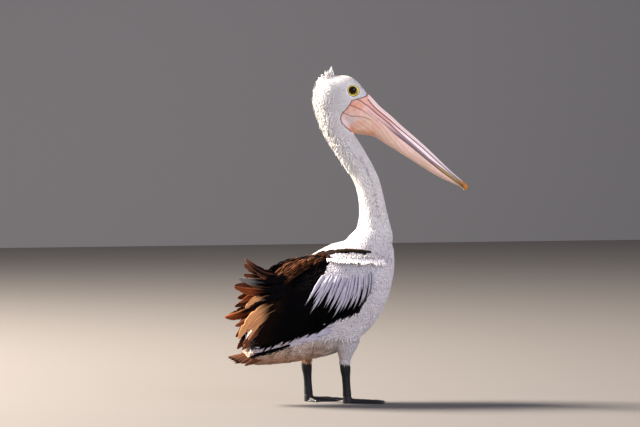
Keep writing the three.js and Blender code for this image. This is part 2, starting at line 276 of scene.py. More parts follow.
def surface_of(field, level, low, step):
    """Points and quads of the surface where the field passes the level."""
    inside = field > level
    cells = tuple(n - 1 for n in field.shape)
    corners = [(i, j, k) for i in (0, 1) for j in (0, 1) for k in (0, 1)]

    def shifted(array, corner):
        return array[tuple(slice(c, c + n) for c, n in zip(corner, cells))]

    count = sum(shifted(inside, c).astype(np.int8) for c in corners)
    on_surface = (count > 0) & (count < len(corners))
    index = np.full(cells, -1, np.int64)
    index[on_surface] = np.arange(on_surface.sum())
    base = np.argwhere(on_surface)
    total = np.zeros((len(base), 3))
    crossed = np.zeros(len(base))
    for a in corners:
        for axis in range(3):
            if a[axis]:
                continue
            b = tuple(c + (n == axis) for n, c in enumerate(a))
            value_a = field[tuple((base + a).T)]
            value_b = field[tuple((base + b).T)]
            cut = (value_a > level) != (value_b > level)
            share = (level - value_a[cut]) / (value_b[cut] - value_a[cut])
            spot = np.tile(np.array(a, float), (cut.sum(), 1))
            spot[:, axis] += share
            total[cut] += spot
            crossed[cut] += 1
    points = low + (base + total / crossed[:, None]) * step
    quads = []
    for axis in range(3):
        u, v = (axis + 1) % 3, (axis + 2) % 3
        a = np.argwhere(np.diff(inside.astype(np.int8), axis=axis) != 0)
        a = a[(a[:, u] > 0) & (a[:, v] > 0)]
        a = a[(a[:, u] < cells[u]) & (a[:, v] < cells[v])]
        outward = inside[tuple(a.T)]
        ring = []
        for du, dv in ((-1, -1), (0, -1), (0, 0), (-1, 0)):
            cell = a.copy()
            cell[:, u] += du
            cell[:, v] += dv
            ring.append(index[tuple(cell.T)])
        ring = np.stack(ring, 1)
        ring[~outward] = ring[~outward][:, ::-1]
        quads.append(ring)
    return points, np.concatenate(quads)


low_corner = np.array(cad_box[0]) - GRID_MARGIN * GRID_STEP
grid_counts = np.ceil((np.array(cad_box[1]) - low_corner) / GRID_STEP).astype(int)
grid_counts = tuple(grid_counts + GRID_MARGIN + 1)
solid_share = fill_grid(FLESH, low_corner, grid_counts, GRID_STEP)
bill_share = fill_grid(BILL_NODES, low_corner, grid_counts, GRID_STEP)
BILL_OVERLAP = 64  # how far ahead of the eyes the skin runs on inside the bill
grid_x = low_corner[0] + np.arange(grid_counts[0]) * GRID_STEP - head_origin[0]
grid_y = low_corner[1] + np.arange(grid_counts[1]) * GRID_STEP - head_origin[1]
ahead_of_eyes = grid_x[:, None] * head_front[0] + grid_y[None, :] * head_front[1]
bill_share *= (ahead_of_eyes < BILL_OVERLAP * MM)[:, :, None]
solid_share = np.maximum(solid_share, bill_share)
skin_field = blurred(solid_share, SKIN_BLUR)
skin_points, skin_quads = surface_of(skin_field, SKIN_LEVEL, low_corner, GRID_STEP)
del solid_share, bill_share, skin_field


def mesh_from(name, points, faces):
    """A smooth mesh from points and a list of arrays of faces, each with its own side count."""
    faces = [np.asarray(f) for f in faces if len(f)]
    mesh = bpy.data.meshes.new(name)
    loops = np.concatenate([f.ravel() for f in faces])
    sides = np.concatenate([np.full(len(f), f.shape[1]) for f in faces])
    mesh.vertices.add(len(points))
    mesh.vertices.foreach_set("co", np.asarray(points, np.float32).ravel())
    mesh.loops.add(len(loops))
    mesh.loops.foreach_set("vertex_index", loops.astype(np.int32))
    mesh.polygons.add(len(sides))
    mesh.polygons.foreach_set("loop_start", (np.cumsum(sides) - sides).astype(np.int32))
    mesh.update(calc_edges=True)
    mesh.polygons.foreach_set("use_smooth", np.full(len(sides), True))
    return mesh


def point_normals(points, quads):
    """The way the surface faces at each point, from the quads that meet there."""
    across = points[quads[:, 2]] - points[quads[:, 0]]
    along = points[quads[:, 3]] - points[quads[:, 1]]
    flat = np.cross(across, along)
    total = [np.bincount(quads.ravel(), np.repeat(flat[:, n], 4), len(points)) for n in range(3)]
    total = np.stack(total, 1)
    return total / np.maximum(np.linalg.norm(total, axis=1), 1e-12)[:, None]


SMOOTH_SHARE = 0.5
SWELL_SHARE = -0.52  # the second step, back out, so that the surface doesn't shrink


def relaxed(points, quads, rounds):
    """Evens the surface out by moving each point towards the mean of its neighbours."""
    ends = np.concatenate([quads[:, [n, (n + 1) % 4]] for n in range(4)])
    a, b = ends[:, 0], ends[:, 1]
    count = len(points)
    degree = (np.bincount(a, minlength=count) + np.bincount(b, minlength=count))[:, None]
    for share in (SMOOTH_SHARE, SWELL_SHARE) * rounds:
        sums = [
            np.bincount(a, points[b, n], count) + np.bincount(b, points[a, n], count)
            for n in range(3)
        ]
        mean = np.where(degree > 0, np.stack(sums, 1) / np.maximum(degree, 1), points)
        points = points + share * (mean - points)
    return points


def paint(mesh, colours):
    """Keeps a colour for each point, which the finish reads by its name."""
    layer = mesh.attributes.new("tint", "FLOAT_COLOR", "POINT")
    flat = np.ones((len(mesh.vertices), 4), np.float32)
    flat[:, :3] = colours
    layer.data.foreach_set("color", flat.ravel())


def ease(value, start, end):
    """Rises smoothly from 0 at start to 1 at end."""
    t = np.clip((np.asarray(value, float) - start) / (end - start), 0, 1)
    return t * t * (3 - 2 * t)


def mixed(a, b, share):
    """From a towards b by a share, which may differ from point to point."""
    share = np.asarray(share)[..., None]
    return np.asarray(a) * (1 - share) + np.asarray(b) * share


HASH_PRIMES = np.array([73856093, 19349663, 83492791])


def noise(points, size, seed=0):
    """Smooth random value from 0 to 1 in space; size is the width of its patches in mm."""
    spot = np.asarray(points) / MM / size + 37.0 * seed + 500
    cell = np.floor(spot).astype(np.int64)
    part = spot - cell
    part = part * part * (3 - 2 * part)
    total = np.zeros(len(spot))
    for corner in range(8):
        bits = np.array([(corner >> n) & 1 for n in range(3)])
        key = (cell + bits) * HASH_PRIMES
        key = (key[:, 0] ^ key[:, 1] ^ key[:, 2]) + seed * 7919
        key = ((key ^ (key >> 13)) * 1274126177) & 0x7FFFFFFF
        weight = np.prod(np.where(bits, part, 1 - part), axis=1)
        total += weight * (key % 65536) / 65535
    return total


def fading(away, width):
    """1 where away is nothing, soft on both sides, and almost nothing at twice the width."""
    return np.exp(-((away / width) ** 2))


def patch_at(plane, middle, size):
    """1 in the middle of an oval patch of a plane, and fading out over its half sizes."""
    return np.exp(-(((plane - middle) / size) ** 2).sum(1))


def distance_to_line(points, line):
    """Shortest distance in a plane from each point to a broken line."""
    best = np.full(len(points), 1e9)
    for a, b in zip(line[:-1], line[1:]):
        run = b - a
        t = np.clip(((points - a) @ run) / (run @ run), 0, 1)
        best = np.minimum(best, np.linalg.norm(points - a - t[:, None] * run, axis=1))
    return best


def inside_outline(points, outline):
    """Whether each point of a plane lies inside a closed outline."""
    inside = np.zeros(len(points), bool)
    for a, b in zip(outline, np.roll(outline, -1, axis=0)):
        spans = (a[1] > points[:, 1]) != (b[1] > points[:, 1])
        rise = b[1] - a[1] if b[1] != a[1] else 1e-9
        inside ^= spans & (points[:, 0] < (b[0] - a[0]) * (points[:, 1] - a[1]) / rise + a[0])
    return inside


# Where the plumage stops round the base of the bill, and the folds in the bare skin there:
# millimetres ahead of the eyes and above them.
PLUMAGE_EDGE = np.array(
    [(52, -6), (44, -14), (30, -20), (10, -25), (-7, -31), (-14, -44), (-23, -56), (-36, -70),
     (-42, -84), (-38, -101), (-24, -115), (-6, -128)],
    float,
)
CHEEK_FOLDS = [
    np.array([(-10, -46), (19, -57), (51, -75), (79, -97)], float),
    np.array([(-32, -70), (-9, -80), (19, -81), (41, -85), (62, -93)], float),
]
GAPE_LINE = np.array([(6, -25.5), (21, -31), (39.5, -43.2), (66, -59.3)], float)
THROAT_EDGE = np.array([(-6, -121), (8, -127), (42, -131), (66, -134)], float)
AHEAD_OF_EDGE = [(6, -136), (30, -150), (300, -150), (300, 40), (58, 20)]
bare_outline = np.concatenate([PLUMAGE_EDGE, AHEAD_OF_EDGE])
THROAT_LOWEST = -150  # below this height from the eyes all the skin is feathered

BARE_PEACH = rgb("#dab3a0")
BARE_ROSE = rgb("#dda893")
BARE_ORANGE = rgb("#cf8350")
BARE_GREY = rgb("#d2c8c6")
EDGE_DARK = rgb("#2b2024")
FOLD_DARK = rgb("#62393a")


def bareness(head_points):
    """Positive inside the bare skin, in millimetres from its edge; negative under plumage."""
    side_view = head_points[:, [0, 2]]
    away = distance_to_line(side_view, PLUMAGE_EDGE)
    inside = inside_outline(side_view, bare_outline) & (head_points[:, 2] > THROAT_LOWEST)
    return np.where(inside, away, -away)


def folded(tint, side_view):
    """The tint with the dark creases of the cheek drawn in. They fade out along the pouch."""
    fade = 0.68 - 0.4 * ease(side_view[:, 0], 25, 75)
    for fold in CHEEK_FOLDS:
        tint = mixed(tint, FOLD_DARK, fade * fading(distance_to_line(side_view, fold), 1.6))
    return tint


def throat_blush(side_view):
    """How orange the skin is along the throat's edge, in patches."""
    patches = noise(np.insert(side_view, 1, 0, axis=1) * MM, 11, 27)
    return fading(distance_to_line(side_view, THROAT_EDGE), 8) * (0.3 + 0.5 * patches)


def dark_rim(tint, side_view, width):
    """The tint with the dark line at the edge of the plumage drawn in."""
    return mixed(tint, EDGE_DARK, 0.95 * fading(distance_to_line(side_view, PLUMAGE_EDGE), width))


def cheek_tint(head_points):
    """The colours of the bare face: peach and rose, greyer at the cheek, orange at the gape."""
    side_view = head_points[:, [0, 2]]
    tint = mixed(BARE_PEACH, BARE_ROSE, ease(side_view[:, 1], -85, -40))
    tint = mixed(tint, BARE_GREY, 0.85 * patch_at(side_view, (-12, -93), (27, 15)))
    tint = mixed(tint, BARE_ORANGE, throat_blush(side_view))
    tint = mixed(tint, BARE_ORANGE, 0.6 * patch_at(side_view, (8, -44), (22, 12)))
    crease = fading(distance_to_line(side_view, GAPE_LINE), 1.7)
    tint = mixed(tint, EDGE_DARK, 0.85 * crease)
    return dark_rim(folded(tint, side_view), side_view, 3.4)


def split_quads(points, quads, mixed_faces, chosen):
    """Splits the chosen quads in four. Their neighbours take the new edge points as corners."""
    edges = np.sort(np.concatenate([quads[:, [n, (n + 1) % 4]] for n in range(4)]), axis=1)
    keys = (edges[:, 0] * len(points) + edges[:, 1]).reshape(4, -1).T
    cut_keys, place = np.unique(keys[chosen], return_inverse=True)
    place = place.reshape(-1, 4) + len(points)
    ends = np.stack([cut_keys // len(points), cut_keys % len(points)], 1)
    middles = points[ends].mean(1)
    whole = quads[chosen]
    centre = len(points) + len(cut_keys) + np.arange(len(whole))
    new_points = np.concatenate([points, middles, points[whole].mean(1)])
    parts = [np.stack([whole[:, n], place[:, n], centre, place[:, n - 1]], 1) for n in range(4)]
    rest = ~chosen
    touched = np.isin(keys, cut_keys) & rest[:, None]
    edged = touched.any(1)
    for quad, key_row, cut_row in zip(quads[edged], keys[edged], touched[edged]):
        corners = []
        for n in range(4):
            corners.append(quad[n])
            if cut_row[n]:
                corners.append(len(points) + np.searchsorted(cut_keys, key_row[n]))
        mixed_faces.append(corners)
    return new_points, np.concatenate([quads[rest & ~edged], *parts])


THICKEST = 40 * MM  # a part thicker than this takes the full inset
THIN_SHARE = 0.28  # the inset takes no more than this share of a thin part
UNDER_SKIN = 0.2 * MM


def depth_below(tree, points, normals):
    """How thick the body is under each point, up to a limit."""
    depth = np.full(len(points), THICKEST)
    for n, (spot, normal) in enumerate(zip(points, normals)):
        start = Vector(spot - normal * UNDER_SKIN)
        hit = tree.ray_cast(start, Vector(-normal), THICKEST)
        if hit[0] is not None:
            depth[n] = hit[3]
    return depth


BARE_OUT = 2.1  # the bare skin is moved out again, to the outline that the blur shrank it from


def coat_room(points):
    """Millimetres left under the outline for the plumage; below zero where the skin is bare."""
    head_points = in_head(points)
    room = 0.5 + 2.5 * ease(-head_points[:, 2], 60, 260) + 3.5 * ease(-head_points[:, 2], 300, 430)
    leg_part = ease(-in_body(points)[:, 2], -240, -180)
    room = room - 3.5 * leg_part
    bare = ease(bareness(head_points), -1.5, 2.5)
    return room * (1 - bare) - BARE_OUT * bare


skin_points = relaxed(skin_points, skin_quads, 5)
skin_normals = point_normals(skin_points, skin_quads)
skin_tree = tree_of(skin_points, skin_quads.tolist())
skin_depth = depth_below(skin_tree, skin_points, skin_normals)
inset = np.minimum(coat_room(skin_points) * MM, THIN_SHARE * skin_depth)
# The plumage lies full down the front of the neck and the breast and fills the hollow between.
FULL_AT_Z = (195, 225, 264, 300, 340, 380, 455, 470, 505, 542, 598, 654, 700, 760)
FULL_BY = (0, 5, 6, 5, 2, 0, 0, 3, 9.5, 8, 5, 3, 2.5, 0)
skin_body = in_body(skin_points)
in_front = ease(skin_normals[:, 0], 0.1, 0.7) * ease(skin_body[:, 0], 105, 150)
fullness = in_front * np.interp(skin_body[:, 2], FULL_AT_Z, FULL_BY) * MM
fullness = relaxed(skin_normals * fullness[:, None], skin_quads, 14)
skin_points = skin_points - skin_normals * inset[:, None] + fullness
skin_points = relaxed(skin_points, skin_quads, 2)

# The face and then its bare part are divided more finely: how far behind the eyes and how far
# below them each round reaches.
FINER = ((75, -150), (58, -142))
mixed_faces = []
for behind, lowest in FINER:
    quad_middle = in_head(skin_points[skin_quads].mean(1))
    chosen = (quad_middle[:, 0] > -behind) & (quad_middle[:, 2] > lowest)
    skin_points, skin_quads = split_quads(skin_points, skin_quads, mixed_faces, chosen)
    skin_points = relaxed(skin_points, skin_quads, 2)

# Relief of the face in mm: sunken sockets, brows over them, and the creases behind the gape.
SOCKET_DEPTH, SOCKET_RADIUS = 3.2, 15
BROW_HEIGHT, BROW_RADIUS = 0.9, 23
FOLD_HEIGHT, FOLD_DEPTH = 0.7, 2.0
GAPE_DEPTH = 1.4
EDGE_DEPTH = 0.5
PEBBLE_HEIGHT, PEBBLE_PATCH = 0.25, 3.2
skin_normals = point_normals(skin_points, skin_quads)
face_points = in_head(skin_points)
relief = np.zeros(len(face_points))
near_face = (face_points[:, 0] > -90) & (face_points[:, 2] > THROAT_LOWEST)
side_view = face_points[near_face][:, [0, 2]]
from_eye = np.hypot(side_view[:, 0], side_view[:, 1])
shape = -SOCKET_DEPTH * np.exp(-((from_eye / SOCKET_RADIUS) ** 4))
shape += BROW_HEIGHT * fading(from_eye - BROW_RADIUS, 5) * ease(side_view[:, 1], -4, 14)
for fold in CHEEK_FOLDS:
    away = distance_to_line(side_view, fold)
    shape += FOLD_HEIGHT * fading(away, 5) - FOLD_DEPTH * fading(away, 1.7)
shape -= GAPE_DEPTH * fading(distance_to_line(side_view, GAPE_LINE), 1.8)
shape -= EDGE_DEPTH * fading(distance_to_line(side_view, PLUMAGE_EDGE), 1.6)
pebbled = noise(skin_points[near_face], PEBBLE_PATCH, 5) - 0.5
shape += PEBBLE_HEIGHT * pebbled * (bareness(face_points[near_face]) > 1)
relief[near_face] = shape * (np.abs(face_points[near_face][:, 1]) > 8)
skin_points = skin_points + skin_normals * (relief * MM)[:, None]

# The white and the brown-black parts of the plumage: x and z in millimetres in the bird's frame.
WING_FRONT = [(14, 446), (-14, 410), (-30, 382), (-10, 364), (40, 356), (100, 366), (132, 374)]
WING_FRONT += [(127, 341)]
WING_LOWER = [(100, 294), (11, 262), (-38, 229), (-104, 214), (-150, 200), (-228, 175)]
WING_BEHIND = [(-330, 152), (-330, 520), (-120, 480), (-24, 474), (20, 462)]
WING_DARK = np.array(WING_FRONT + WING_LOWER + WING_BEHIND, float)
SCAPULAR_LINE = np.array([(132, 468), (87, 474), (30, 474), (-60, 468)], float)
RUMP_STREAK = np.array([(-256, 143), (-230, 149), (-144, 180), (-115, 190)], float)
NECK_FLECKS = np.array([(117, 764), (136, 728), (160, 680), (168, 640), (180, 585)], float)
WHITE = rgb("#f3f1ee")
SOOT = rgb("#030203")
BROWN = rgb("#4c3223")
BODY_WHITE = rgb("#e3e0e2")
CREAM = rgb("#cf9f6a")
TAN_STAIN_AND_BOUNCE = rgb("#bf7f4c")
UMBER = rgb("#8d7156")
FLECK_AND_SHADE_GREY = rgb("#77757f")
PANEL_SHADE_GREY = rgb("#aeabb6")


def darkness(points):
    """How far the plumage is dark at each point of the body, from 0 to 1."""
    body = in_body(points)
    side_view = body[:, [0, 2]] + (noise(points, 14, 3)[:, None] - 0.5) * 9
    outward = np.abs(body[:, 1])
    wing = inside_outline(side_view, WING_DARK) & (outward > 18)
    back = (body[:, 0] < -14 - 0.2 * outward) & (body[:, 2] > 250)
    line = (distance_to_line(side_view, SCAPULAR_LINE) < 4) & (outward > 34)
    streak = distance_to_line(side_view, RUMP_STREAK) < 5
    return (wing | back | line | streak).astype(float)


def plumage_tint(points):
    """The colour of the plumage by its place on the bird, with painted shade on the wing panel
    under the shoulder and behind the eye, and painted bounce light in the tan of the vent.
    """
    body = in_body(points)
    head_points = in_head(points)
    patches = noise(points, 60, 11)
    tint = mixed(WHITE, BODY_WHITE, ease(-body[:, 2], -600, -470))
    tint = mixed(tint, CREAM, 0.07 * ease(patches, 0.45, 0.8))
    belly = ease(-body[:, 2], -235, -165) * ease(-body[:, 0], -80, 60)
    tint = mixed(tint, CREAM, 0.8 * belly * (0.5 + 0.5 * noise(points, 30, 12)))
    # Tan at the lowest part of the belly: partly a stain, partly painted warm light bounced up from
    # the ground.
    stain_and_bounce = ease(-body[:, 2], -175, -135) * ease(-body[:, 0], -60, 40)
    tint = mixed(tint, TAN_STAIN_AND_BOUNCE, 0.7 * stain_and_bounce)
    streaks = ease(noise(points, 13, 15), 0.5, 0.7) * ease(-body[:, 0], -90, 20)
    tint = mixed(tint, UMBER, 0.75 * streaks * ease(-body[:, 2], -205, -165))
    # Painted shade: the white coverts under the shoulder's ledge are greyed lavender, as if the
    # ledge shaded them.
    painted_panel_shade = ease(body[:, 2], 338, 352) * ease(-body[:, 2], -450, -438)
    painted_panel_shade = painted_panel_shade * ease(-body[:, 0], -170, -120)
    tint = mixed(tint, PANEL_SHADE_GREY, 0.4 * painted_panel_shade * ease(np.abs(body[:, 1]), 45, 70))
    # Painted shade behind the eye, in the same grey as the neck flecks, which are real marks.
    cheek = patch_at(head_points[:, [0, 2]], (-50, -10), (22, 34))
    tint = mixed(tint, FLECK_AND_SHADE_GREY, 0.14 * cheek)
    fleck_line = distance_to_line(body[:, [0, 2]], NECK_FLECKS)
    flecks = fading(fleck_line, 5) * ease(noise(points, 4, 14), 0.5, 0.62)
    tint = mixed(tint, FLECK_AND_SHADE_GREY, 0.65 * flecks * (np.abs(body[:, 1]) > 12))
    dark = darkness(points)
    brown = 0.2 * ease(-body[:, 0], 60, 190) * ease(noise(points, 40, 13), 0.3, 0.8)
    brown = np.maximum(brown, ease(body[:, 2], 425, 455) * ease(-body[:, 0], 20, 60))
    return mixed(tint, mixed(SOOT, BROWN, brown), dark)


# Painted shade: the skin under the plumage is darkened where it shows between the feathers.
BED_SHADE = 0.8  # the feather bed under the coat is this much darker than the coat
bare_share = ease(bareness(face_points), -0.6, 0.6) * (face_points[:, 2] > THROAT_LOWEST)
skin_tint = mixed(plumage_tint(skin_points) * BED_SHADE, cheek_tint(face_points), bare_share)
skin_faces = [skin_quads]
for count in sorted({len(face) for face in mixed_faces}):
    skin_faces.append(np.array([face for face in mixed_faces if len(face) == count]))
skin_mesh = mesh_from("skin", skin_points, skin_faces)
paint(skin_mesh, skin_tint)

BILL_SLOPE = math.radians(42)  # the grain of the bill and the pouch runs down at this angle


def tinted_finish(name, kind, size, detail, relief, sockets, shades=None, blotch=None):
    """A surface that takes its colour from the tint of the mesh and has a fine relief.

    kind is the texture node of the relief and size the width of its grain in mm: one number,
    or three along the slope of the bill. relief is the bump's strength and depth. The grain, or
    a coarser noise of the width blotch, also shades the tint over the range shades, if given.
    """
    finish, shader = new_material(name)
    tint_node = add_node(finish, "ShaderNodeAttribute", attribute_name="tint")
    place_node = add_node(finish, "ShaderNodeTexCoord")
    place = (place_node, "Object")
    if np.ndim(size):
        turn = {"Rotation": (0, BILL_SLOPE, 0), "Scale": tuple(1 / (s * MM) for s in size)}
        turned = add_node(finish, "ShaderNodeMapping", {"Vector": place, **turn})
        place, size = (turned, "Vector"), 1 / MM
    grain = add_node(finish, kind, {"Vector": place, "Scale": 1 / (size * MM), "Detail": detail})
    height = "Distance" if kind == "ShaderNodeTexVoronoi" else "Fac"
    strength, depth = relief
    bump = {"Height": (grain, height), "Strength": strength, "Distance": depth}
    link(finish, add_node(finish, "ShaderNodeBump", bump), "Normal", shader, "Normal")
    if blotch:
        wide = {"Vector": place, "Scale": 1 / (blotch * MM), "Detail": 5.0}
        grain = add_node(finish, "ShaderNodeTexNoise", wide)
    if shades:
        span = {"From Min": 0.3, "From Max": 0.7, "To Min": shades[0], "To Max": shades[1]}
        shade = add_node(finish, "ShaderNodeMapRange", {"Value": (grain, "Fac"), **span})
        pair = {0: (tint_node, "Color"), 1: (shade, "Result")}
        shaded = add_node(finish, "ShaderNodeVectorMath", pair, operation="MULTIPLY")
        link(finish, shaded, "Vector", shader, "Base Color")
    else:
        link(finish, tint_node, "Color", shader, "Base Color")
    for socket, value in sockets.items():
        shader.inputs[socket].default_value = value
    return finish


def fixed_piece(name, mesh, finish, slot_name, *nodes):
    """Adds a piece that rides on the bird's one body and stands for the nodes it dresses."""
    piece = add_object(name, mesh, finish)
    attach(piece, "root")
    if nodes:
        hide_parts(*nodes)


# Waxy bare skin round the gape, pebbled like fine leather with grains of 1.6 mm; light comes a
# little way through it, and soft blotches of a centimetre keep its colour from being even.
skin_finish = tinted_finish(
    "waxy facial skin and feather bed",
    "ShaderNodeTexVoronoi",
    size=1.6129,
    detail=0.0,
    relief=(0.25, 0.0006),
    shades=(0.86, 1.1),
    sockets={
        "Roughness": 0.48,
        "Subsurface Weight": 0.15,
        "Subsurface Radius": (1.0, 0.45, 0.3),
        "Subsurface Scale": 0.003,
    },
    blotch=11.111,
)
fixed_piece("skin", skin_mesh, skin_finish, "plumage_white", *FLESH)
skin_tree = tree_of(skin_points, [tuple(f) for faces in skin_faces for f in faces.tolist()])

# ---- Bill and pouch ----
# The long horn-sheathed upper bill with its round ridge, side grooves and hooked nail, the two
# thin springy arms of the lower bill, and the bare pouch slung between them in fine folds.
# Stations: ridge x and z, underside x and z, half width, in millimetres from the eyes.
BILL_STATIONS = np.array(
    [(22, 6, -26, -115, 33), (52, -11, -1, -132, 31), (88, -48, 26, -136, 28),
     (126, -80, 70, -143, 25), (154, -106, 105, -164, 22.5), (210, -154, 174, -207, 19.5),
     (245, -185.5, 210, -229, 18.5), (290, -229, 258, -259, 18), (326, -262, 301, -281, 17),
     (350, -281, 334, -295, 13), (360, -289, 348, -303, 10), (366, -295, 355, -310, 7),
     (368, -300, 358, -313, 3)],
    float,
)
RIDGE_START = np.array([50.5, -10.0])
BILL_RUN = np.array([316.5, -288.0])
BILL_LENGTH = float(np.linalg.norm(BILL_RUN))
BILL_AXIS = BILL_RUN / BILL_LENGTH
BILL_DOWN = np.array([BILL_AXIS[1], -BILL_AXIS[0]])
# Millimetres below the ridge, by the share of the bill's length.
GROOVE_S = [-0.1, 0, 0.05, 0.11, 0.18, 0.25, 0.32, 0.42, 0.49, 0.565, 0.64, 0.72, 0.77, 0.84]
GROOVE_S += [0.9, 1.1]
GROOVE_T = [12, 13.4, 15.6, 15.5, 14.5, 14.2, 13.3, 12.4, 11.5, 10.6, 9.9, 8.5, 7.4, 6.6, 5.8, 4]
MOUTH_S = [-0.1, -0.02, 0.033, 0.1, 0.18, 0.25, 0.31, 0.44, 0.59, 0.644, 0.694, 0.755, 0.8, 0.85]
MOUTH_S += [0.9, 0.945, 0.965, 0.985, 1.1]
MOUTH_T = [46, 35.6, 31.5, 27, 25.8, 25, 24, 23.6, 22.9, 21.7, 19, 15.3, 12.2, 10.6]
MOUTH_T += [9.6, 9.3, 12, 19, 30]
ARM_S = [-0.1, 0.1, 0.2, 0.28, 0.35, 0.43, 0.5, 0.56, 0.61, 0.66, 0.71, 0.77, 0.83, 0.88, 0.93, 1.1]
ARM_T = [50, 38, 37, 38, 36.7, 34.3, 33, 31.8, 30.6, 28.9, 26.6, 24.5, 21.2, 18, 16.5, 16]


def smooth_rows(table, count):
    """Rows at even steps through a table of stations, smoothed through the given ones."""
    t = np.linspace(0, len(table) - 1, count)
    k = np.minimum(t.astype(int), len(table) - 2)
    f = (t - k)[:, None]
    a, b, d, e = (table[np.clip(k + n, 0, len(table) - 1)] for n in (-1, 0, 1, 2))
    bend_in = (d - a) / 2 * (f**3 - 2 * f**2 + f)
    bend_out = (e - b) / 2 * (f**3 - f**2)
    return b * (2 * f**3 - 3 * f**2 + 1) + bend_in + d * (3 * f**2 - 2 * f**3) + bend_out


BILL_ROWS = 300
DEPTH_STEPS = 241
SMOOTH_ROWS = 4  # how many rows to each side a line's depth is averaged over
bill_rows = smooth_rows(BILL_STATIONS, BILL_ROWS)
ridge_s = (bill_rows[:, :2] - RIDGE_START) @ BILL_AXIS / BILL_LENGTH
ridge_drop = (bill_rows[:, :2] - RIDGE_START) @ BILL_DOWN


def bill_place(side_view):
    """Share along the bill and millimetres below its ridge, for points seen from the side."""
    along = (side_view - RIDGE_START) @ BILL_AXIS / BILL_LENGTH
    below = (side_view - RIDGE_START) @ BILL_DOWN - np.interp(along, ridge_s, ridge_drop)
    return along, below


def depth_where(s_table, t_table):
    """How far down each section, from 0 to 1, the given line crosses it."""
    steps = np.linspace(0, 1, DEPTH_STEPS)
    found = np.empty(BILL_ROWS)
    for n, row in enumerate(bill_rows):
        side_view = row[:2] + steps[:, None] * (row[2:4] - row[:2])
        along, below = bill_place(side_view)
        past = below >= np.interp(along, s_table, t_table)
        found[n] = steps[np.argmax(past)] if past.any() else 1.0
    kernel = np.ones(2 * SMOOTH_ROWS + 1) / (2 * SMOOTH_ROWS + 1)
    return np.convolve(np.pad(found, SMOOTH_ROWS, mode="edge"), kernel, mode="valid")


mouth_depth = np.minimum(depth_where(MOUTH_S, MOUTH_T), 0.9)
arm_depth = np.clip(depth_where(ARM_S, ARM_T), mouth_depth + 0.04, 0.96)

# The ridge and the side band of the upper bill are the horn's pale pink, made paler still as
# painted highlight.
RIDGE_PINK = rgb("#fbdccf")
RIDGE_PALE = rgb("#fdeee9")
SIDE_ROSE = rgb("#d99a88")
SIDE_PALE = rgb("#fae2da")
MOUTH_DARK = rgb("#351414")
GROOVE_DARK = rgb("#35181c")
ARM_MAUVE = rgb("#987a7c")
ARM_UMBER = rgb("#6a5053")
ARM_OLIVE = rgb("#8f7130")
NAIL_AMBER = rgb("#c27c2a")
NAIL_DARK = rgb("#6a4013")
POUCH_PEACH = rgb("#d6ab93")
POUCH_ROSE = rgb("#d6aba0")
POUCH_TAN = rgb("#f0cdbd")
POUCH_CREAM = rgb("#e0c3a9")


def bill_lines(along):
    """How far below the ridge the groove, the mouth and the lower arm's edge run."""
    lines = ((GROOVE_S, GROOVE_T), (MOUTH_S, MOUTH_T), (ARM_S, ARM_T))
    return [np.interp(along, s_table, t_table) for s_table, t_table in lines]


def bill_tint(points, part):
    """The colours of the bill and the pouch, which pass into those of the cheek at the base."""
    head_points = in_head(points)
    side_view = head_points[:, [0, 2]]
    along, below = bill_place(side_view)
    groove, mouth, arm = bill_lines(along)
    streaks = noise(head_points @ np.diag([1, 2.5, 1]) * MM, 9, 21)
    if part == "upper":
        # Pale ridge and whitish side band: partly the horn's own pink, partly painted highlight.
        tint = mixed(RIDGE_PINK, RIDGE_PALE, ease(along, 0.25, 0.8))
        tint = mixed(tint, GROOVE_DARK, 0.25 * fading(below - groove * 0.5, 1.2))
        lower = mixed(SIDE_ROSE, SIDE_PALE, ease(along, 0.2, 0.42))
        tint = mixed(tint, lower, ease(below - groove, -1, 1.5))
        line = fading(below - groove, 2.1)
        tint = mixed(tint, GROOVE_DARK, 0.95 * line * ease(along, -0.06, -0.03))
        nail = ease(along + 0.02 * streaks, 0.91, 0.965)
        tint = mixed(tint, ARM_OLIVE, 0.8 * ease(along, 0.8, 0.93) * ease(below, 3, 7))
        tint = mixed(tint, mixed(NAIL_AMBER, NAIL_DARK, 0.7 * ease(streaks, 0.5, 0.8)), nail)
    elif part == "lower":
        depth = (below - mouth) / np.maximum(arm - mouth, 1)
        tint = mixed(ARM_UMBER, ARM_MAUVE, ease(np.abs(depth - 0.55), 0.1, 0.5))
        tint = mixed(POUCH_ROSE, tint, ease(along, 0.17, 0.42))
        tint = mixed(tint, ARM_OLIVE, ease(along + 0.06 * streaks, 0.7, 0.82))
        tint = mixed(tint, NAIL_DARK, 0.4 * ease(along, 0.9, 1.0))
    else:
        tint = mixed(POUCH_ROSE, POUCH_PEACH, ease(below - arm, 0, 16))
        tint = mixed(tint, POUCH_TAN, ease(along, 0.1, 0.5))
        tint = mixed(tint, POUCH_CREAM, 0.7 * ease(noise(head_points * MM, 26, 22), 0.4, 0.75))
        tint = mixed(tint, BARE_ORANGE, throat_blush(side_view))
        line = fading(below - arm, 2.0)
        tint = mixed(tint, ARM_MAUVE, 0.35 * line * ease(along, 0.2, 0.45))
    if part != "pouch":
        strength = 0.95 - 0.4 * ease(along, 0.25, 0.5)
        tint = mixed(tint, MOUTH_DARK, strength * fading(below - mouth, 1.9))
    tint = tint * (0.95 + 0.1 * streaks)[:, None]
    if part != "upper":
        tint = folded(tint, side_view)
    share = ease(along, 0.0, 0.1) if part != "upper" else ease(along, -0.09, -0.04)
    return dark_rim(mixed(cheek_tint(head_points), tint, share), side_view, 3.2)


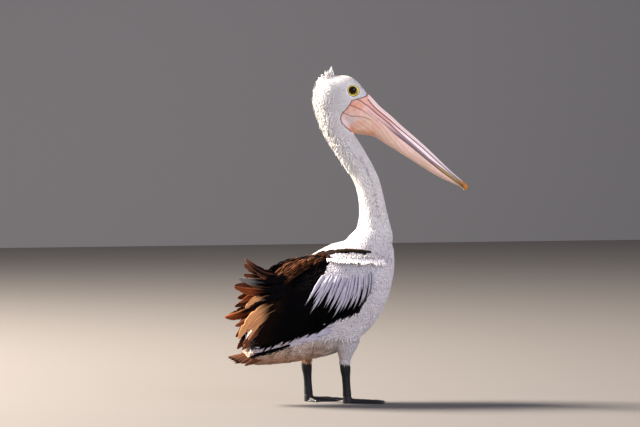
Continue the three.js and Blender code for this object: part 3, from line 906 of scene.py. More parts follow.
def bill_relief(side_view, part):
    """Millimetres that the surface stands out from the plain oval of its section."""
    along, below = bill_place(side_view)
    groove, mouth, arm = bill_lines(along)
    fade = ease(along, 0.0, 0.1)
    if part == "upper":
        bulge = -1.3 * fading(below - groove, 1.5) * fade * ease(-along, -0.95, -0.85)
        bulge += 1.0 * ease(along, 0.93, 0.97)
        return bulge + 0.7 * fading(below - mouth + 2.5, 2.2)
    if part == "lower":
        return 0.9 * fading(below - (mouth + arm) / 2, 4) * fade - 0.6 * fade
    deep = below - arm
    folds = np.sin(deep / 1.9 + 6 * np.sin(along * 9)) * 0.28 * ease(deep, 2, 8)
    return folds * fade - 1.3 * fading(deep, 2.5) * fade - 0.2


def ringed(count, wide, closed=False):
    """Quads between neighbouring rings of points; closed also joins the last ring to the first."""
    i = np.arange(count if closed else count - 1)[:, None]
    after = (i + 1) % count * wide
    i = i * wide
    j = np.arange(wide)[None, :]
    k = (j + 1) % wide
    return np.stack([i + j, after + j, after + k, i + k], -1).reshape(-1, 4)


TURNED_OVER = [0, 3, 2, 1]  # the same quads, facing the other way
LIP_GAP = 0.002  # share of a section left open between the two bills


def bill_mesh(name, part, across):
    """Closed rings between two depths of the sections, both sides mirrored."""
    rings = []
    for row, mouth, arm in zip(bill_rows, mouth_depth, arm_depth):
        if part == "upper":
            lip = mouth - LIP_GAP
            v = (1 - (1 - np.linspace(lip, 0, across) / lip) ** 0.8) * lip
        elif part == "lower":
            v = np.linspace(arm, mouth, across)
        else:
            v = np.linspace(1, arm, across)
        side_view = row[:2] + v[:, None] * (row[2:4] - row[:2])
        half = row[4] * np.sqrt(np.clip(1 - (1 - 2 * v) ** 2, 0, 1))
        out = bill_relief(side_view, part)
        half = np.where(half > 0.01, np.maximum(half + out * np.minimum(half / 6, 1), 0.2), 0)
        right = np.stack([side_view[:, 0], -half, side_view[:, 1]], 1)
        left = right * (1, -1, 1)
        if part == "upper":
            rings.append(np.concatenate([right, left[:-1][::-1]]))
        elif part == "lower":
            rings.append(np.concatenate([right, left[::-1]]))
        else:
            rings.append(np.concatenate([right[::-1], left[1:]]))
    points = from_head(np.concatenate(rings))
    wide = len(rings[0])
    ends = np.arange(wide)
    caps = [ends[None, :], (ends[::-1] + len(points) - wide)[None, :]]
    mesh = mesh_from(name, points, [ringed(len(rings), wide), *caps])
    paint(mesh, bill_tint(points, part))
    return mesh


# Horn: smooth, with a soft polish where it is oiled, and faint streaks 1.4 mm wide that run
# along its slope.
bill_finish = tinted_finish(
    "polished bill horn",
    "ShaderNodeTexNoise",
    size=(16.667, 1.4286, 1.4286),
    detail=4.0,
    relief=(0.3, 0.0004),
    shades=(0.88, 1.08),
    sockets={"Roughness": 0.34, "Subsurface Weight": 0.1, "Subsurface Scale": 0.002},
)

# Pouch: thin bare skin, matt, crossed by fine wrinkles 1 to 2 mm wide.
pouch_finish = tinted_finish(
    "thin pouch skin",
    "ShaderNodeTexNoise",
    size=(8.333, 2.0, 1.1111),
    detail=5.0,
    relief=(0.5, 0.0008),
    sockets={
        "Roughness": 0.5,
        "Subsurface Weight": 0.2,
        "Subsurface Radius": (1.0, 0.4, 0.25),
        "Subsurface Scale": 0.003,
    },
)

upper_mesh = bill_mesh("bill_upper", "upper", 64)
lower_mesh = bill_mesh("bill_lower", "lower", 16)
pouch_mesh = bill_mesh("bill_pouch", "pouch", 60)
fixed_piece("bill_upper", upper_mesh, bill_finish, "bill_horn", "upper_bill")
fixed_piece("bill_lower", lower_mesh, bill_finish, "bill_horn", "lower_bill")
fixed_piece("bill_pouch", pouch_mesh, pouch_finish, "pouch_skin", "pouch")

# ---- Eyes ----
# Dark glass-like eyes sunk in their sockets, each in a ring of bare yellow skin that ends in
# thin slate lid margins. The ring is wider below and in front than above.
EYE_RADIUS = 12.4
EYE_OUT = 35.6  # how far the front of each eye lies from the middle of the head
EYE_UP = 1.2  # the ball's middle over the middle of the opening
RING_OUTER = 20.4
RING_INNER = 8.1

# Wet eyeball: black-brown and mirror smooth, so that it holds one small sharp highlight.
eye_finish, shader = new_material("dark wet eye")
shader.inputs["Base Color"].default_value = (*rgb("#140b07"), 1)
shader.inputs["Roughness"].default_value = 0.05
shader.inputs["Specular IOR Level"].default_value = 0.2

# Bare ring skin: matt, with grains under 1 mm that break up its shine.
ring_finish = tinted_finish(
    "yellow eye ring skin",
    "ShaderNodeTexVoronoi",
    size=0.9091,
    detail=0.0,
    relief=(0.4, 0.0005),
    sockets={"Roughness": 0.5, "Subsurface Weight": 0.15, "Subsurface Scale": 0.002},
)
RING_YELLOW = rgb("#efd552")
RING_PALE = rgb("#ead9a4")
LID_SLATE = rgb("#231e12")


def eye_mesh(name, side):
    """A closed ball, of which the ring leaves only the front to be seen."""
    rings, turns = 28, 48
    centre = np.array([0, side * (EYE_OUT - EYE_RADIUS), EYE_UP])
    angle = np.linspace(0, math.pi, rings)[1:-1, None]
    turn = np.linspace(0, 2 * math.pi, turns, endpoint=False)[None, :]
    out = np.cos(angle) + 0 * turn
    x = np.sin(angle) * np.cos(turn)
    z = np.sin(angle) * np.sin(turn) * side
    ball = np.stack([x, out * side, z], -1).reshape(-1, 3)
    top, bottom = len(ball), len(ball) + 1
    ball = np.concatenate([ball, [(0, side, 0), (0, -side, 0)]])
    j = np.arange(turns)
    k = (j + 1) % turns
    last = top - turns
    fans = [
        np.stack([np.full(turns, top), j, k], 1),
        np.stack([last + j, np.full(turns, bottom), last + k], 1),
    ]
    points = from_head(centre + ball * EYE_RADIUS)
    return mesh_from(name, points, [ringed(rings - 2, turns), np.concatenate(fans)])


CLEAR_OF_HEAD = 90.0


def skin_out(x, z, side):
    """How far from the middle of the head the skin lies at one place on its side."""
    start = from_head(np.array([x, side * CLEAR_OF_HEAD, z]))
    hit = skin_tree.ray_cast(Vector(start), Vector(-side * head_side))
    return abs(in_head(np.array(hit[0]))[1])


RING_TURNS, RING_STEPS = 128, 18
RING_THICK = 3.5
RING_CUSHION = 1.7
WRINKLE_HEIGHT = 0.12


def ring_mesh(name, side):
    """A soft cushion of skin from the lids out over the socket, closed behind."""
    rows, tints = [], []
    for turn in np.linspace(0, 2 * math.pi, RING_TURNS, endpoint=False):
        forward, up = math.cos(turn), math.sin(turn)
        inner = np.array([0, EYE_UP]) + RING_INNER * np.array([forward, 0.9 * up])
        outer = np.array([1.2, -0.8]) + RING_OUTER * np.array([forward, 0.94 * up])
        outer = outer * (1 + 0.025 * math.sin(3 * turn + 1) + 0.015 * math.sin(7 * turn))
        wave = math.sin(turn * 31 + 2 * math.sin(turn * 5))
        gold = mixed(RING_YELLOW, RING_PALE, 0.25 * (0.5 + 0.5 * wave))
        row = []
        for step in range(RING_STEPS):
            t = step / (RING_STEPS - 1)
            x, z = inner + t * (outer - inner)
            ball = EYE_RADIUS**2 - x**2 - (z - EYE_UP) ** 2
            on_eye = EYE_OUT - EYE_RADIUS + math.sqrt(max(ball, 0))
            on_skin = skin_out(x, z, side)
            cushion = RING_CUSHION * math.sin(math.pi * min(t * 1.15, 1)) ** 0.8 + 0.2
            wrinkle = WRINKLE_HEIGHT * wave * math.sin(math.pi * t)
            lid = max(on_eye + 0.5, on_skin + 0.3) * (1 - t) ** 2
            out = lid + (on_skin + cushion + wrinkle) * (1 - (1 - t) ** 2)
            if step == RING_STEPS - 1:
                out = on_skin - 0.5
            row.append((x, side * out, z))
            tint = mixed(gold, LID_SLATE, float(1 - ease(t, 0.0, 0.1)))
            tints.append(mixed(tint, LID_SLATE, float(ease(t, 0.74, 0.86))))
        back = [(x, y - side * RING_THICK, z) for x, y, z in row[::-1]]
        tints += [tints[-1]] * RING_STEPS
        rows += row + back
    quads = ringed(RING_TURNS, 2 * RING_STEPS, closed=True)
    quads = quads[:, TURNED_OVER] if side < 0 else quads[:, [1, 2, 3, 0]]
    mesh = mesh_from(name, from_head(rows), [quads])
    paint(mesh, np.array(tints))
    return mesh


SIDES = ((-1, "right"), (1, "left"))
for side, word in SIDES:
    ball, ring = f"eyeball_{word}", f"eye_ring_{word}"
    fixed_piece(ball, eye_mesh(ball, side), eye_finish, "eye", f"eye_{word}")
    fixed_piece(ring, ring_mesh(ring, side), ring_finish, "eye_ring")

# ---- Legs and feet ----
# Short strong slate-grey shanks under a net of small scales, and broad feet whose four toes,
# the hind one too, are joined by leathery webs. Each toe ends in a small hooked claw.
FOOT_STEP = 1.3 * MM
SLATE = rgb("#111013")
SLATE_DARK = rgb("#0a0a0c")
SLATE_PALE = rgb("#201e22")
WEB_GREY = rgb("#262428")
# Length in mm, degrees outward from straight ahead, and half width.
TOES = {
    "hallux": (48, -82, 6),
    "inner": (92, -22, 7.5),
    "middle": (120, 4, 8.5),
    "outer": (114, 30, 8),
}
SCALE_WIDTH = 3.0
SCALE_HEIGHT = 0.42
SCUTE_LENGTH = 3.6
SCUTE_HEIGHT = 0.28


def cells(points, size):
    """Distance to the nearest and the next scale centre, in shares of a scale's width."""
    spot = points / size
    base = np.floor(spot).astype(np.int64)
    near = np.full(len(points), 9.0)
    second = np.full(len(points), 9.0)
    for i in (-1, 0, 1):
        for j in (-1, 0, 1):
            for k in (-1, 0, 1):
                cell = base + (i, j, k)
                key = (cell * HASH_PRIMES).sum(1)
                jitter = np.stack([((key * m) >> 7) % 997 / 997 for m in (31, 57, 101)], 1)
                away = np.linalg.norm(cell + 0.15 + 0.7 * jitter - spot, axis=1)
                second = np.minimum(second, np.maximum(away, near))
                near = np.minimum(near, away)
    return near, second


# Scaled skin: dry and low in gloss; a grain of 1.4 mm within each scale roughens its shine.
leg_finish = tinted_finish(
    "scaled leg skin",
    "ShaderNodeTexVoronoi",
    size=1.4286,
    detail=0.0,
    relief=(0.4, 0.0005),
    sockets={"Roughness": 0.55, "Specular IOR Level": 0.25},
)

# Claws: smooth dark horn with a worn gloss.
claw_finish, shader = new_material("dark claw horn")
shader.inputs["Base Color"].default_value = (*rgb("#1f1b1a"), 1)
shader.inputs["Roughness"].default_value = 0.3

CLAW_LENGTH = 12.5
CLAW_RADIUS, CLAW_POINT = 2.7, 0.35


def claw_mesh(name, tips):
    """Curved tapering claws, closed at both ends."""
    steps, wide = 9, 10
    points, quads, caps = [], [], []
    for root, way, across in tips:
        first = len(points)
        for n in range(steps):
            t = n / (steps - 1)
            radius = CLAW_RADIUS * (1 - t) ** 0.75 + CLAW_POINT
            middle = root + way * CLAW_LENGTH * t + np.array([0, 0, 1.2 * t - 4.6 * t * t])
            for k in range(wide):
                turn = 2 * math.pi * k / wide
                spot = middle + across * radius * math.cos(turn)
                spot = spot + np.array([0, 0, radius * math.sin(turn)])
                points.append((spot[0], spot[1], max(spot[2], 0.05)))
        quads.append(first + ringed(steps, wide)[:, TURNED_OVER])
        caps.append(first + np.arange(wide)[::-1])
        caps.append(first + (steps - 1) * wide + np.arange(wide))
    points = np.array(points) * MM
    points[:, :2] += body_origin[:2]
    return mesh_from(name, points, [np.concatenate(quads), np.array(caps)])


def toe_way(outward, side):
    """The way a toe points, seen from above."""
    turn = math.radians(outward) * side
    return np.array([math.cos(turn), math.sin(turn)])


FOOT_MARGIN = 5  # steps left free round the solids
for side, word in SIDES:
    nodes = [f"leg_{word}", f"foot_{word}"]
    boxes = np.array([[list(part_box(n)[0]), list(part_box(n)[1])] for n in nodes])
    low = boxes[:, 0].min(0) - FOOT_MARGIN * FOOT_STEP
    high = boxes[:, 1].max(0) + FOOT_MARGIN * FOOT_STEP
    counts = tuple(np.ceil((high - low) / FOOT_STEP).astype(int) + 2)
    share = blurred(fill_grid(nodes, low, counts, FOOT_STEP), 1.05)
    points, quads = surface_of(share, 0.5, low, FOOT_STEP)
    points = relaxed(points, quads, 5)
    normals = point_normals(points, quads)
    body = in_body(points)
    ankle = np.array(in_body(middle_of(f"leg_{word}")))[:2] + (4.5, 0)
    flat = body[:, :2] - ankle
    on_toe = np.zeros(len(points))
    scutes = np.zeros(len(points))
    for length, outward, half in TOES.values():
        way = toe_way(outward, side)
        along = flat @ way
        across = np.abs(flat @ np.array([-way[1], way[0]]))
        near = ease(-across, -half - 1.5, -half + 2.5) * (along > 6) * (body[:, 2] > 3.2)
        on_toe = np.maximum(on_toe, near)
        scutes = np.where(near > 0.3, np.sin(along * 2 * math.pi / SCUTE_LENGTH), scutes)
    near, second = cells(body, SCALE_WIDTH)
    net = np.minimum(second - near, 0.35) / 0.35
    on_shank = ease(body[:, 2], 16, 30)
    relief = SCALE_HEIGHT * (net - 0.7) * np.maximum(on_shank, 0.35)
    relief += SCUTE_HEIGHT * scutes * on_toe * (1 - on_shank)
    relief *= body[:, 2] > 0.6
    points = points + normals * (relief * MM)[:, None]
    points[:, 2] = np.maximum(points[:, 2], 0)
    tint = mixed(SLATE_DARK, SLATE, net)
    web = (1 - on_toe) * (1 - on_shank)
    tint = mixed(tint, mixed(SLATE_DARK, WEB_GREY, 0.5 + 0.5 * net), 0.7 * web)
    tint = mixed(tint, SLATE_PALE, 0.4 * noise(points, 16, 31) * np.maximum(on_toe, on_shank))
    tint = mixed(tint, SLATE_DARK, 0.5 * ease(-body[:, 2], -3, 0))
    leg, claws = f"leg_and_foot_{word}", f"claws_{word}"
    mesh = mesh_from(leg, points, [quads])
    paint(mesh, tint)
    fixed_piece(leg, mesh, leg_finish, "leg_skin", *nodes)
    tips = []
    for length, outward, half in TOES.values():
        way = np.array([*toe_way(outward, side), 0.0])
        root = np.array([*ankle, 4.4]) + way * (length * 0.94)
        tips.append((root, way, np.array([-way[1], way[0], 0.0])))
    fixed_piece(claws, claw_mesh(claws, tips), claw_finish, "claw_horn")

# ---- Plumage: how every feather is made ----
# Each feather is a thin closed leaf with a raised midrib, rooted in the skin and laid along the
# body over the feathers behind it. Short tufts clothe the face, broad ones the breast and back.
# SPINE is the body's long axis seen from the side, from the brow down the neck to the tail.
SPINE = np.array(
    [(150, 950), (110, 962), (75, 958), (48, 935), (41, 901), (51, 860), (68, 823), (95, 783),
     (125, 734), (150, 686), (165, 639), (172, 593), (172, 543), (155, 495), (120, 430),
     (60, 370), (-20, 330), (-100, 290), (-200, 230), (-290, 190)],
    float,
)
PAST_SPINE = 200  # how far the first and the last stretch of that line go on
coat_random = np.random.default_rng(20)


def unit(vectors):
    return vectors / np.maximum(np.linalg.norm(vectors, axis=-1, keepdims=True), 1e-12)


def unwrap(points):
    """The skin laid flat: the angle round the body's long axis, and the way along that axis."""
    body = in_body(points)
    steps = np.linalg.norm(np.diff(SPINE, axis=0), axis=1)
    starts = np.concatenate([[0], np.cumsum(steps)])
    best = np.full(len(body), 1e9)
    around = np.zeros(len(body))
    along = np.zeros(len(body))
    last = len(steps) - 1
    for n, (a, b) in enumerate(zip(SPINE[:-1], SPINE[1:])):
        run = (b - a) / steps[n]
        t = (body[:, [0, 2]] - a) @ run
        before = PAST_SPINE if n == 0 else 0
        after = PAST_SPINE if n == last else 0
        t = np.clip(t, -before, steps[n] + after)
        out = body[:, [0, 2]] - a - t[:, None] * run
        away = np.linalg.norm(out, axis=1)
        nearer = away < best
        best[nearer] = away[nearer]
        height = out @ np.array([-run[1], run[0]])
        around[nearer] = np.arctan2(body[nearer, 1], -height[nearer])
        along[nearer] = (starts[n] + t)[nearer]
    return np.stack([around / (2 * math.pi) + 0.5, along / starts[-1]], 1)


def lie(points):
    """The way the feathers point: back from the bill, down the neck and back over the body."""
    body = in_body(points)
    head_points = in_head(points)
    way = np.zeros((len(points), 3))
    for a, b in zip(SPINE[:-1], SPINE[1:]):
        middle = (a + b) / 2
        weight = 1 / (np.sum((body[:, [0, 2]] - middle) ** 2, axis=1) + 400) ** 2
        run = (b - a) / np.linalg.norm(b - a)
        way[:, 0] += weight * run[0]
        way[:, 2] += weight * run[1]
    way = unit(way)
    from_bill = (head_points - (70, 0, -8)) * (1, 0.25, 1)
    from_bill = unit(from_bill) @ head_axes
    face = ease(head_points[:, 0], -62, -15) * ease(head_points[:, 2], -110, -70)
    way = mixed(way, from_bill, face)
    leg_part = ease(-body[:, 2], -238, -195) * ease(np.abs(body[:, 1]), 18, 34)
    leg_part *= (body[:, 0] > -40) & (body[:, 0] < 150)
    way = mixed(way, np.array([-0.22, 0, -1.0]), leg_part)
    flank = ease(np.abs(body[:, 1]), 38, 70) * ease(body[:, 2], 225, 300)
    flank = flank * ease(-body[:, 0], -150, -90)
    back = ease(-body[:, 0], 0, 160)
    droop = mixed(np.array([-0.25, 0, -1.0]), np.array([-0.9, 0, -0.5]), back)
    way = mixed(way, droop, 0.85 * flank * (body[:, 2] < 520))
    return unit(way)


def tangent(vectors, normals):
    """The vectors laid flat on the surface and made one long."""
    return unit(vectors - np.sum(vectors * normals, axis=1)[:, None] * normals)


all_triangles = np.concatenate([skin_quads[:, [0, 1, 2]], skin_quads[:, [0, 2, 3]]])
corner_a, corner_b, corner_c = (skin_points[all_triangles[:, n]] for n in range(3))
triangle_areas = np.cross(corner_b - corner_a, corner_c - corner_a)
triangle_areas = np.linalg.norm(triangle_areas, axis=1) / 2 / MM**2
triangle_middles = skin_points[all_triangles].mean(1)
skin_normals = point_normals(skin_points, skin_quads)
TRIES = 3.2  # roots tried for each one that the spacing has room for


def roots_in(chosen, spacing):
    """Feather roots strewn over part of the skin, none nearer to another than the spacing in mm."""
    pool = np.flatnonzero(chosen)
    count = int(TRIES * triangle_areas[pool].sum() / spacing**2) + 4
    share = triangle_areas[pool] / triangle_areas[pool].sum()
    picked = all_triangles[pool[coat_random.choice(len(pool), count, p=share)]]
    a, b = coat_random.random(count), coat_random.random(count)
    over = a + b > 1
    a[over], b[over] = 1 - a[over], 1 - b[over]
    weights = np.stack([1 - a - b, a, b], 1)[:, :, None]
    spots = (skin_points[picked] * weights).sum(1)
    normals = unit((skin_normals[picked] * weights).sum(1))
    cells = np.floor(spots / (spacing * MM)).astype(int)
    taken = {}
    kept = []
    limit = (spacing * MM) ** 2
    around = [(i, j, k) for i in (-1, 0, 1) for j in (-1, 0, 1) for k in (-1, 0, 1)]
    for n, ((x, y, z), spot) in enumerate(zip(cells.tolist(), spots.tolist())):
        near = (other for i, j, k in around for other in taken.get((x + i, y + j, z + k), ()))
        if all(sum((p - q) ** 2 for p, q in zip(other, spot)) >= limit for other in near):
            taken.setdefault((x, y, z), []).append(spot)
            kept.append(n)
    return spots[kept], normals[kept]


SEARCH = 80 * MM  # how far off a step of a midrib may lie from the skin under it


def laid(roots, normals, ways, lengths, heights, at, tip_lift=0.0, turn=0.0):
    """Midribs that follow the skin: heights in mm over it, by the share of the length."""
    count = len(roots)
    lengths = np.broadcast_to(lengths, count).astype(float)
    heights = np.asarray(heights, float)
    if heights.ndim == 1:
        heights = np.tile(heights, (count, 1))
    lift = np.broadcast_to(tip_lift, count)
    ribs = np.empty((count, len(at), 3))
    outs = np.empty((count, len(at), 3))
    spots = roots.copy()
    facing = normals.copy()
    before = 0.0
    for n, t in enumerate(at):
        if t > before:
            spots = spots + ways * ((t - before) * lengths * MM)[:, None]
            for i in range(count):
                hit = skin_tree.find_nearest(Vector(spots[i]), SEARCH)
                if hit[0] is not None:
                    spots[i] = hit[0]
                    facing[i] = hit[1]
            facing = unit(0.5 * facing + 0.5 * outs[:, n - 1])
            ways = tangent(ways, facing)
        raised = heights[:, n] + lift * lengths * t**1.6
        ribs[:, n] = spots + facing * (raised * MM)[:, None]
        outs[:, n] = facing
        before = t
    return ribs, outs


def leaves(ribs, outs, widths, profile, at, rib_height, tints, droop=0.0, core=0.97):
    """Closed leaves along the midribs. The last station is the pointed tip; core is how much
    of the tint the midrib keeps."""
    count, stations = ribs.shape[:2]
    widths = np.broadcast_to(widths, count).astype(float)
    runs = np.gradient(ribs, axis=1)
    sides = unit(np.cross(unit(runs), outs))
    half = widths[:, None, None] * MM * np.asarray(profile)[None, :, None] / 2
    top = outs * np.broadcast_to(rib_height, count)[:, None, None] * MM
    sag = outs * droop * half
    left = ribs - sides * half - sag
    right = ribs + sides * half - sag
    ridge = ribs + top * np.minimum(np.asarray(profile) * 1.5 + 0.2, 1)[None, :, None]
    rows = np.stack([left, ridge, right], 2)[:, :-1]
    points = np.concatenate([rows.reshape(count, -1, 3), ribs[:, -1:]], 1)
    per_leaf = points.shape[1]
    quads = []
    for n in range(stations - 2):
        a, b = 3 * n, 3 * n + 3
        quads += [(a, a + 1, b + 1, b), (a + 1, a + 2, b + 2, b + 1), (a + 2, a, b, b + 2)]
    e, tip = 3 * (stations - 2), per_leaf - 1
    triangles = [(e, e + 1, tip), (e + 1, e + 2, tip), (e + 2, e, tip), (2, 1, 0)]
    start = (np.arange(count) * per_leaf)[:, None, None]
    shade = np.asarray(at)
    root_tint, tip_tint = tints
    row_tint = root_tint[:, None] * (1 - shade)[None, :, None]
    row_tint = row_tint + tip_tint[:, None] * shade[None, :, None]
    tint = np.repeat(row_tint[:, :-1], 3, axis=1)
    tint[:, 1::3] *= core
    tint = np.concatenate([tint, row_tint[:, -1:]], 1)
    across = np.concatenate([np.tile([-0.5, 0, 0.5], stations - 1), [0]])
    along = np.concatenate([np.repeat(shade[:-1], 3), [1]]) - 0.5
    return {
        "points": points.reshape(-1, 3),
        "quads": (start + np.array(quads)).reshape(-1, 4),
        "triangles": (start + np.array(triangles)).reshape(-1, 3),
        "tint": tint.reshape(-1, 3),
        "patch": np.tile(np.stack([across, along], 1), (count, 1)),
        "roots": np.repeat(ribs[:, 0], per_leaf, axis=0),
    }


PATCH = 0.003  # size of one feather's own patch on the unwrap
UNWRAP_EDGE = 0.01


def coat_piece(name, groups, coat, *nodes):
    """One mesh of many feathers, each with its patch at its root's place on the unwrap."""
    offsets = np.cumsum([0] + [len(g["points"]) for g in groups])
    quads = np.concatenate([g["quads"] + o for g, o in zip(groups, offsets)])
    triangles = np.concatenate([g["triangles"] + o for g, o in zip(groups, offsets)])
    points, tint, roots, patch = (
        np.concatenate([g[key] for g in groups]) for key in ("points", "tint", "roots", "patch")
    )
    mesh = mesh_from(name, points, [quads, triangles])
    paint(mesh, np.clip(tint, 0, 1))
    flat = unwrap(roots)
    low, high = flat.min(0), flat.max(0)
    flat = (flat - low) / np.maximum(high - low, 1e-6)
    flat = UNWRAP_EDGE + (1 - 2 * UNWRAP_EDGE) * flat + PATCH * patch
    layer = mesh.uv_layers.new(name="OFBake")
    corners = np.empty(len(mesh.loops), np.int32)
    mesh.loops.foreach_get("vertex_index", corners)
    layer.data.foreach_set("uv", flat[corners].astype(np.float32).ravel())
    finish, slot_name = coat
    fixed_piece(name, mesh, finish, slot_name, *nodes)


def feather_finish(name, grain, roughness, sheen, shine):
    """Feather: matt, its fine parallel barbs drawn as a grain of 2 to 3 mm, coarser than life."""
    sockets = {
        "Roughness": roughness,
        "Sheen Weight": sheen,
        "Sheen Roughness": 0.6,
        "Specular IOR Level": shine,
    }
    relief, shades = (0.35, 0.0005), (0.9, 1.06)
    return tinted_finish(name, "ShaderNodeTexNoise", grain, 3.0, relief, sockets, shades)


# Soft white contour feathers: matt and bright, with a faint silky bloom at grazing angles.
white_finish = feather_finish(
    "soft white plumage", grain=2.381, roughness=0.8, sheen=0.1, shine=0.25
)
WHITE_COAT = (white_finish, "plumage_white")
# Stiff brown-black feathers: matt, with next to no gloss, so that they stay dark in the light.
dark_finish = feather_finish(
    "stiff dark feather vane", grain=3.3333, roughness=0.72, sheen=0.0, shine=0.03
)
DARK_COAT = (dark_finish, "plumage_black")

TUFT_AT = (0.0, 0.35, 0.72, 1.0)
TUFT_WIDE = (0.55, 1.0, 0.72, 0.0)

TUFT_RISE = (-0.4, 0.6, 1.0, 0.8)  # shares of the height at each station; the root is sunk


def tuft_group(chosen, spacing, length, width, height, lift=0.0, shade=0.9, stray=0.16, way=None):
    """Short tufts over a part of the skin. Length, height and lift may be functions of the roots;
    stray is how far they turn from the lie of the plumage, or from the way given; shade darkens
    each root as painted shade where the tufts overlap."""
    roots, normals = roots_in(chosen, spacing)
    count = len(roots)

    def at_roots(value):
        return value(roots) if callable(value) else np.full(count, float(value))

    along = lie(roots) if way is None else np.tile(way, (count, 1))
    sideways = np.cross(normals, along)
    along = along + sideways * coat_random.normal(0, stray, count)[:, None]
    along = tangent(along, normals)
    lengths = at_roots(length) * coat_random.uniform(0.8, 1.2, count)
    lifts = at_roots(lift) * coat_random.uniform(0.3, 1.5, count)
    rise = at_roots(height) * coat_random.uniform(0.82, 1.18, count)
    heights = rise[:, None] * np.array(TUFT_RISE)
    ribs, outs = laid(roots, normals, along, lengths, heights, TUFT_AT, lifts)
    widths = width * coat_random.uniform(0.8, 1.2, count)
    tip_tint = plumage_tint(roots) * coat_random.uniform(0.93, 1.05, count)[:, None]
    tints = (tip_tint * shade, tip_tint)
    return leaves(ribs, outs, widths, TUFT_WIDE, TUFT_AT, 0.07 * width, tints)


def straight_tufts(roots, ways, lengths, outs, sunk, width, rib, shade):
    """Tufts that stand straight off the skin, each along its own way, rooted a little below; shade
    darkens each root as painted shade.
    """
    reach = lengths[:, None] * np.array([-sunk, *TUFT_AT[1:]]) * MM
    ribs = roots[:, None] + ways[:, None] * reach[:, :, None]
    outs = np.repeat(unit(outs)[:, None], len(TUFT_AT), axis=1)
    tint = plumage_tint(roots)
    return leaves(ribs, outs, width, TUFT_WIDE, TUFT_AT, rib, (tint * shade, tint))


# Which part of the bird each triangle of the skin belongs to.
middle_body = in_body(triangle_middles)
middle_head = in_head(triangle_middles)
feathered = bareness(middle_head) < -0.4
below_head = middle_head[:, 2] < THROAT_LOWEST
feathered |= below_head
ring_room = np.hypot(middle_head[:, 0] - 1.2, middle_head[:, 2] + 0.8) < RING_OUTER + 0.6
feathered &= ~(ring_room & (np.abs(middle_head[:, 1]) > 12))
feathered &= (middle_head[:, 0] < 56) | below_head
NECK_FOOT = 540
outward = np.abs(middle_body[:, 1])
in_head_part = middle_head[:, 2] > -75
in_face_part = in_head_part & (middle_head[:, 0] > -35)
in_neck = ~in_head_part & (middle_body[:, 2] > NECK_FOOT)
in_trunk = middle_body[:, 2] <= NECK_FOOT
in_thigh = (middle_body[:, 2] < 205) & (middle_body[:, 2] > 100) & (outward > 24)
in_thigh &= (middle_body[:, 0] > -40) & (middle_body[:, 0] < 150)
in_breast = in_trunk & ~in_thigh & (middle_body[:, 0] > 105)
in_back = in_trunk & ~in_thigh & ~in_breast

# ---- Plumage of the head and neck ----
# Velvet-short feathers over the face, longer and shaggier ones on the nape that ruffle in the
# wind, and a short pointed crest behind the crown.


def face_length(points):
    """Shortest round the base of the bill and the eyes."""
    head_points = in_head(points)
    from_eye = np.hypot(head_points[:, 0], head_points[:, 2])
    return 3.6 + 2.2 * ease(-head_points[:, 0], -30, 30) + 1.2 * ease(from_eye, 18, 45)


def nape_share(points):
    """How far a place lies on the shaggy line down the back of the head and the neck."""
    head_points = in_head(points)
    behind = np.cos((unwrap(points)[:, 0] - 0.5) * 2 * math.pi)
    behind = ease(behind, -0.2, 0.75)
    on_nape = np.maximum(ease(-head_points[:, 0], 45, 85), ease(-head_points[:, 2], 100, 150))
    on_nape *= ease(head_points[:, 2], -340, -170)
    return behind * on_nape


def head_length(points):
    return 7.0 + 8.0 * nape_share(points)


def head_lift(points):
    return 0.03 + 0.42 * nape_share(points)


face_group = tuft_group(
    feathered & in_face_part,
    spacing=1.55, length=face_length, width=1.4, height=0.5, lift=0.02, shade=0.93,
)
head_group = tuft_group(
    feathered & in_head_part & ~in_face_part,
    spacing=1.85, length=head_length, width=1.7, height=0.7, lift=head_lift, shade=0.93,
)

on_nape = nape_share(triangle_middles) > 0.62
shag_group = tuft_group(
    feathered & on_nape,
    spacing=6.5, length=16, width=4.2, height=1.0, lift=0.55, shade=0.97, stray=0.3,
)


def neck_length(points):
    return 10.0 + 6.0 * nape_share(points)


upper_neck = in_neck & (middle_body[:, 2] > 720)
upper_neck_group = tuft_group(
    feathered & upper_neck,
    spacing=2.0, length=neck_length, width=2.2, height=1.2, lift=head_lift, shade=0.97,
)
lower_neck_group = tuft_group(
    feathered & in_neck & ~upper_neck,
    spacing=2.3, length=14, width=2.9, height=1.8, shade=0.98, stray=0.08,
)

# The crest: the drawn-out tips in mm from the middle between the eyes, and how far their roots
# are strewn. Each root is where the skin lies under the tip.
CREST_TIPS = np.array(
    [(-65, 0, 78), (-68, 0, 70), (-76, 1, 64), (-85, -3, 60), (-95, 4, 53), (-106, -3, 41),
     (-113, 3, 28)],
    float,
)
CREST_SPREAD = (3.0, 4.0, 6.0, 7.0, 7.0, 7.0, 7.0)
CREST_COUNT = 12  # feathers to each tip
CREST_LONGEST = 36
CREST_OVER = 120  # the roots are looked for downwards from this height over the eyes
CREST_DROP = 130 * MM
crest_roots, crest_ways, crest_lengths = [], [], []
for tip, spread in zip(CREST_TIPS, CREST_SPREAD):
    for _ in range(CREST_COUNT):
        start = tip * (0.9, 1, 0) + coat_random.normal(0, spread, 3) * (1, 0.7, 0) - (2, 0, 0)
        start[2] = CREST_OVER
        hit = skin_tree.ray_cast(Vector(from_head(start)), Vector((0, 0, -1)), CREST_DROP)
        if hit[0] is None:
            continue
        root = np.array(hit[0])
        reach = from_head(tip + coat_random.normal(0, 1, 3) * (0.8, 0.8, 2.0)) - root
        crest_roots.append(root)
        crest_ways.append(reach / np.linalg.norm(reach))
        crest_lengths.append(min(np.linalg.norm(reach) / MM, CREST_LONGEST))
crest_roots = np.array(crest_roots)
crest_ways = np.array(crest_ways)
crest_lengths = np.array(crest_lengths) * coat_random.uniform(0.75, 1.0, len(crest_roots))
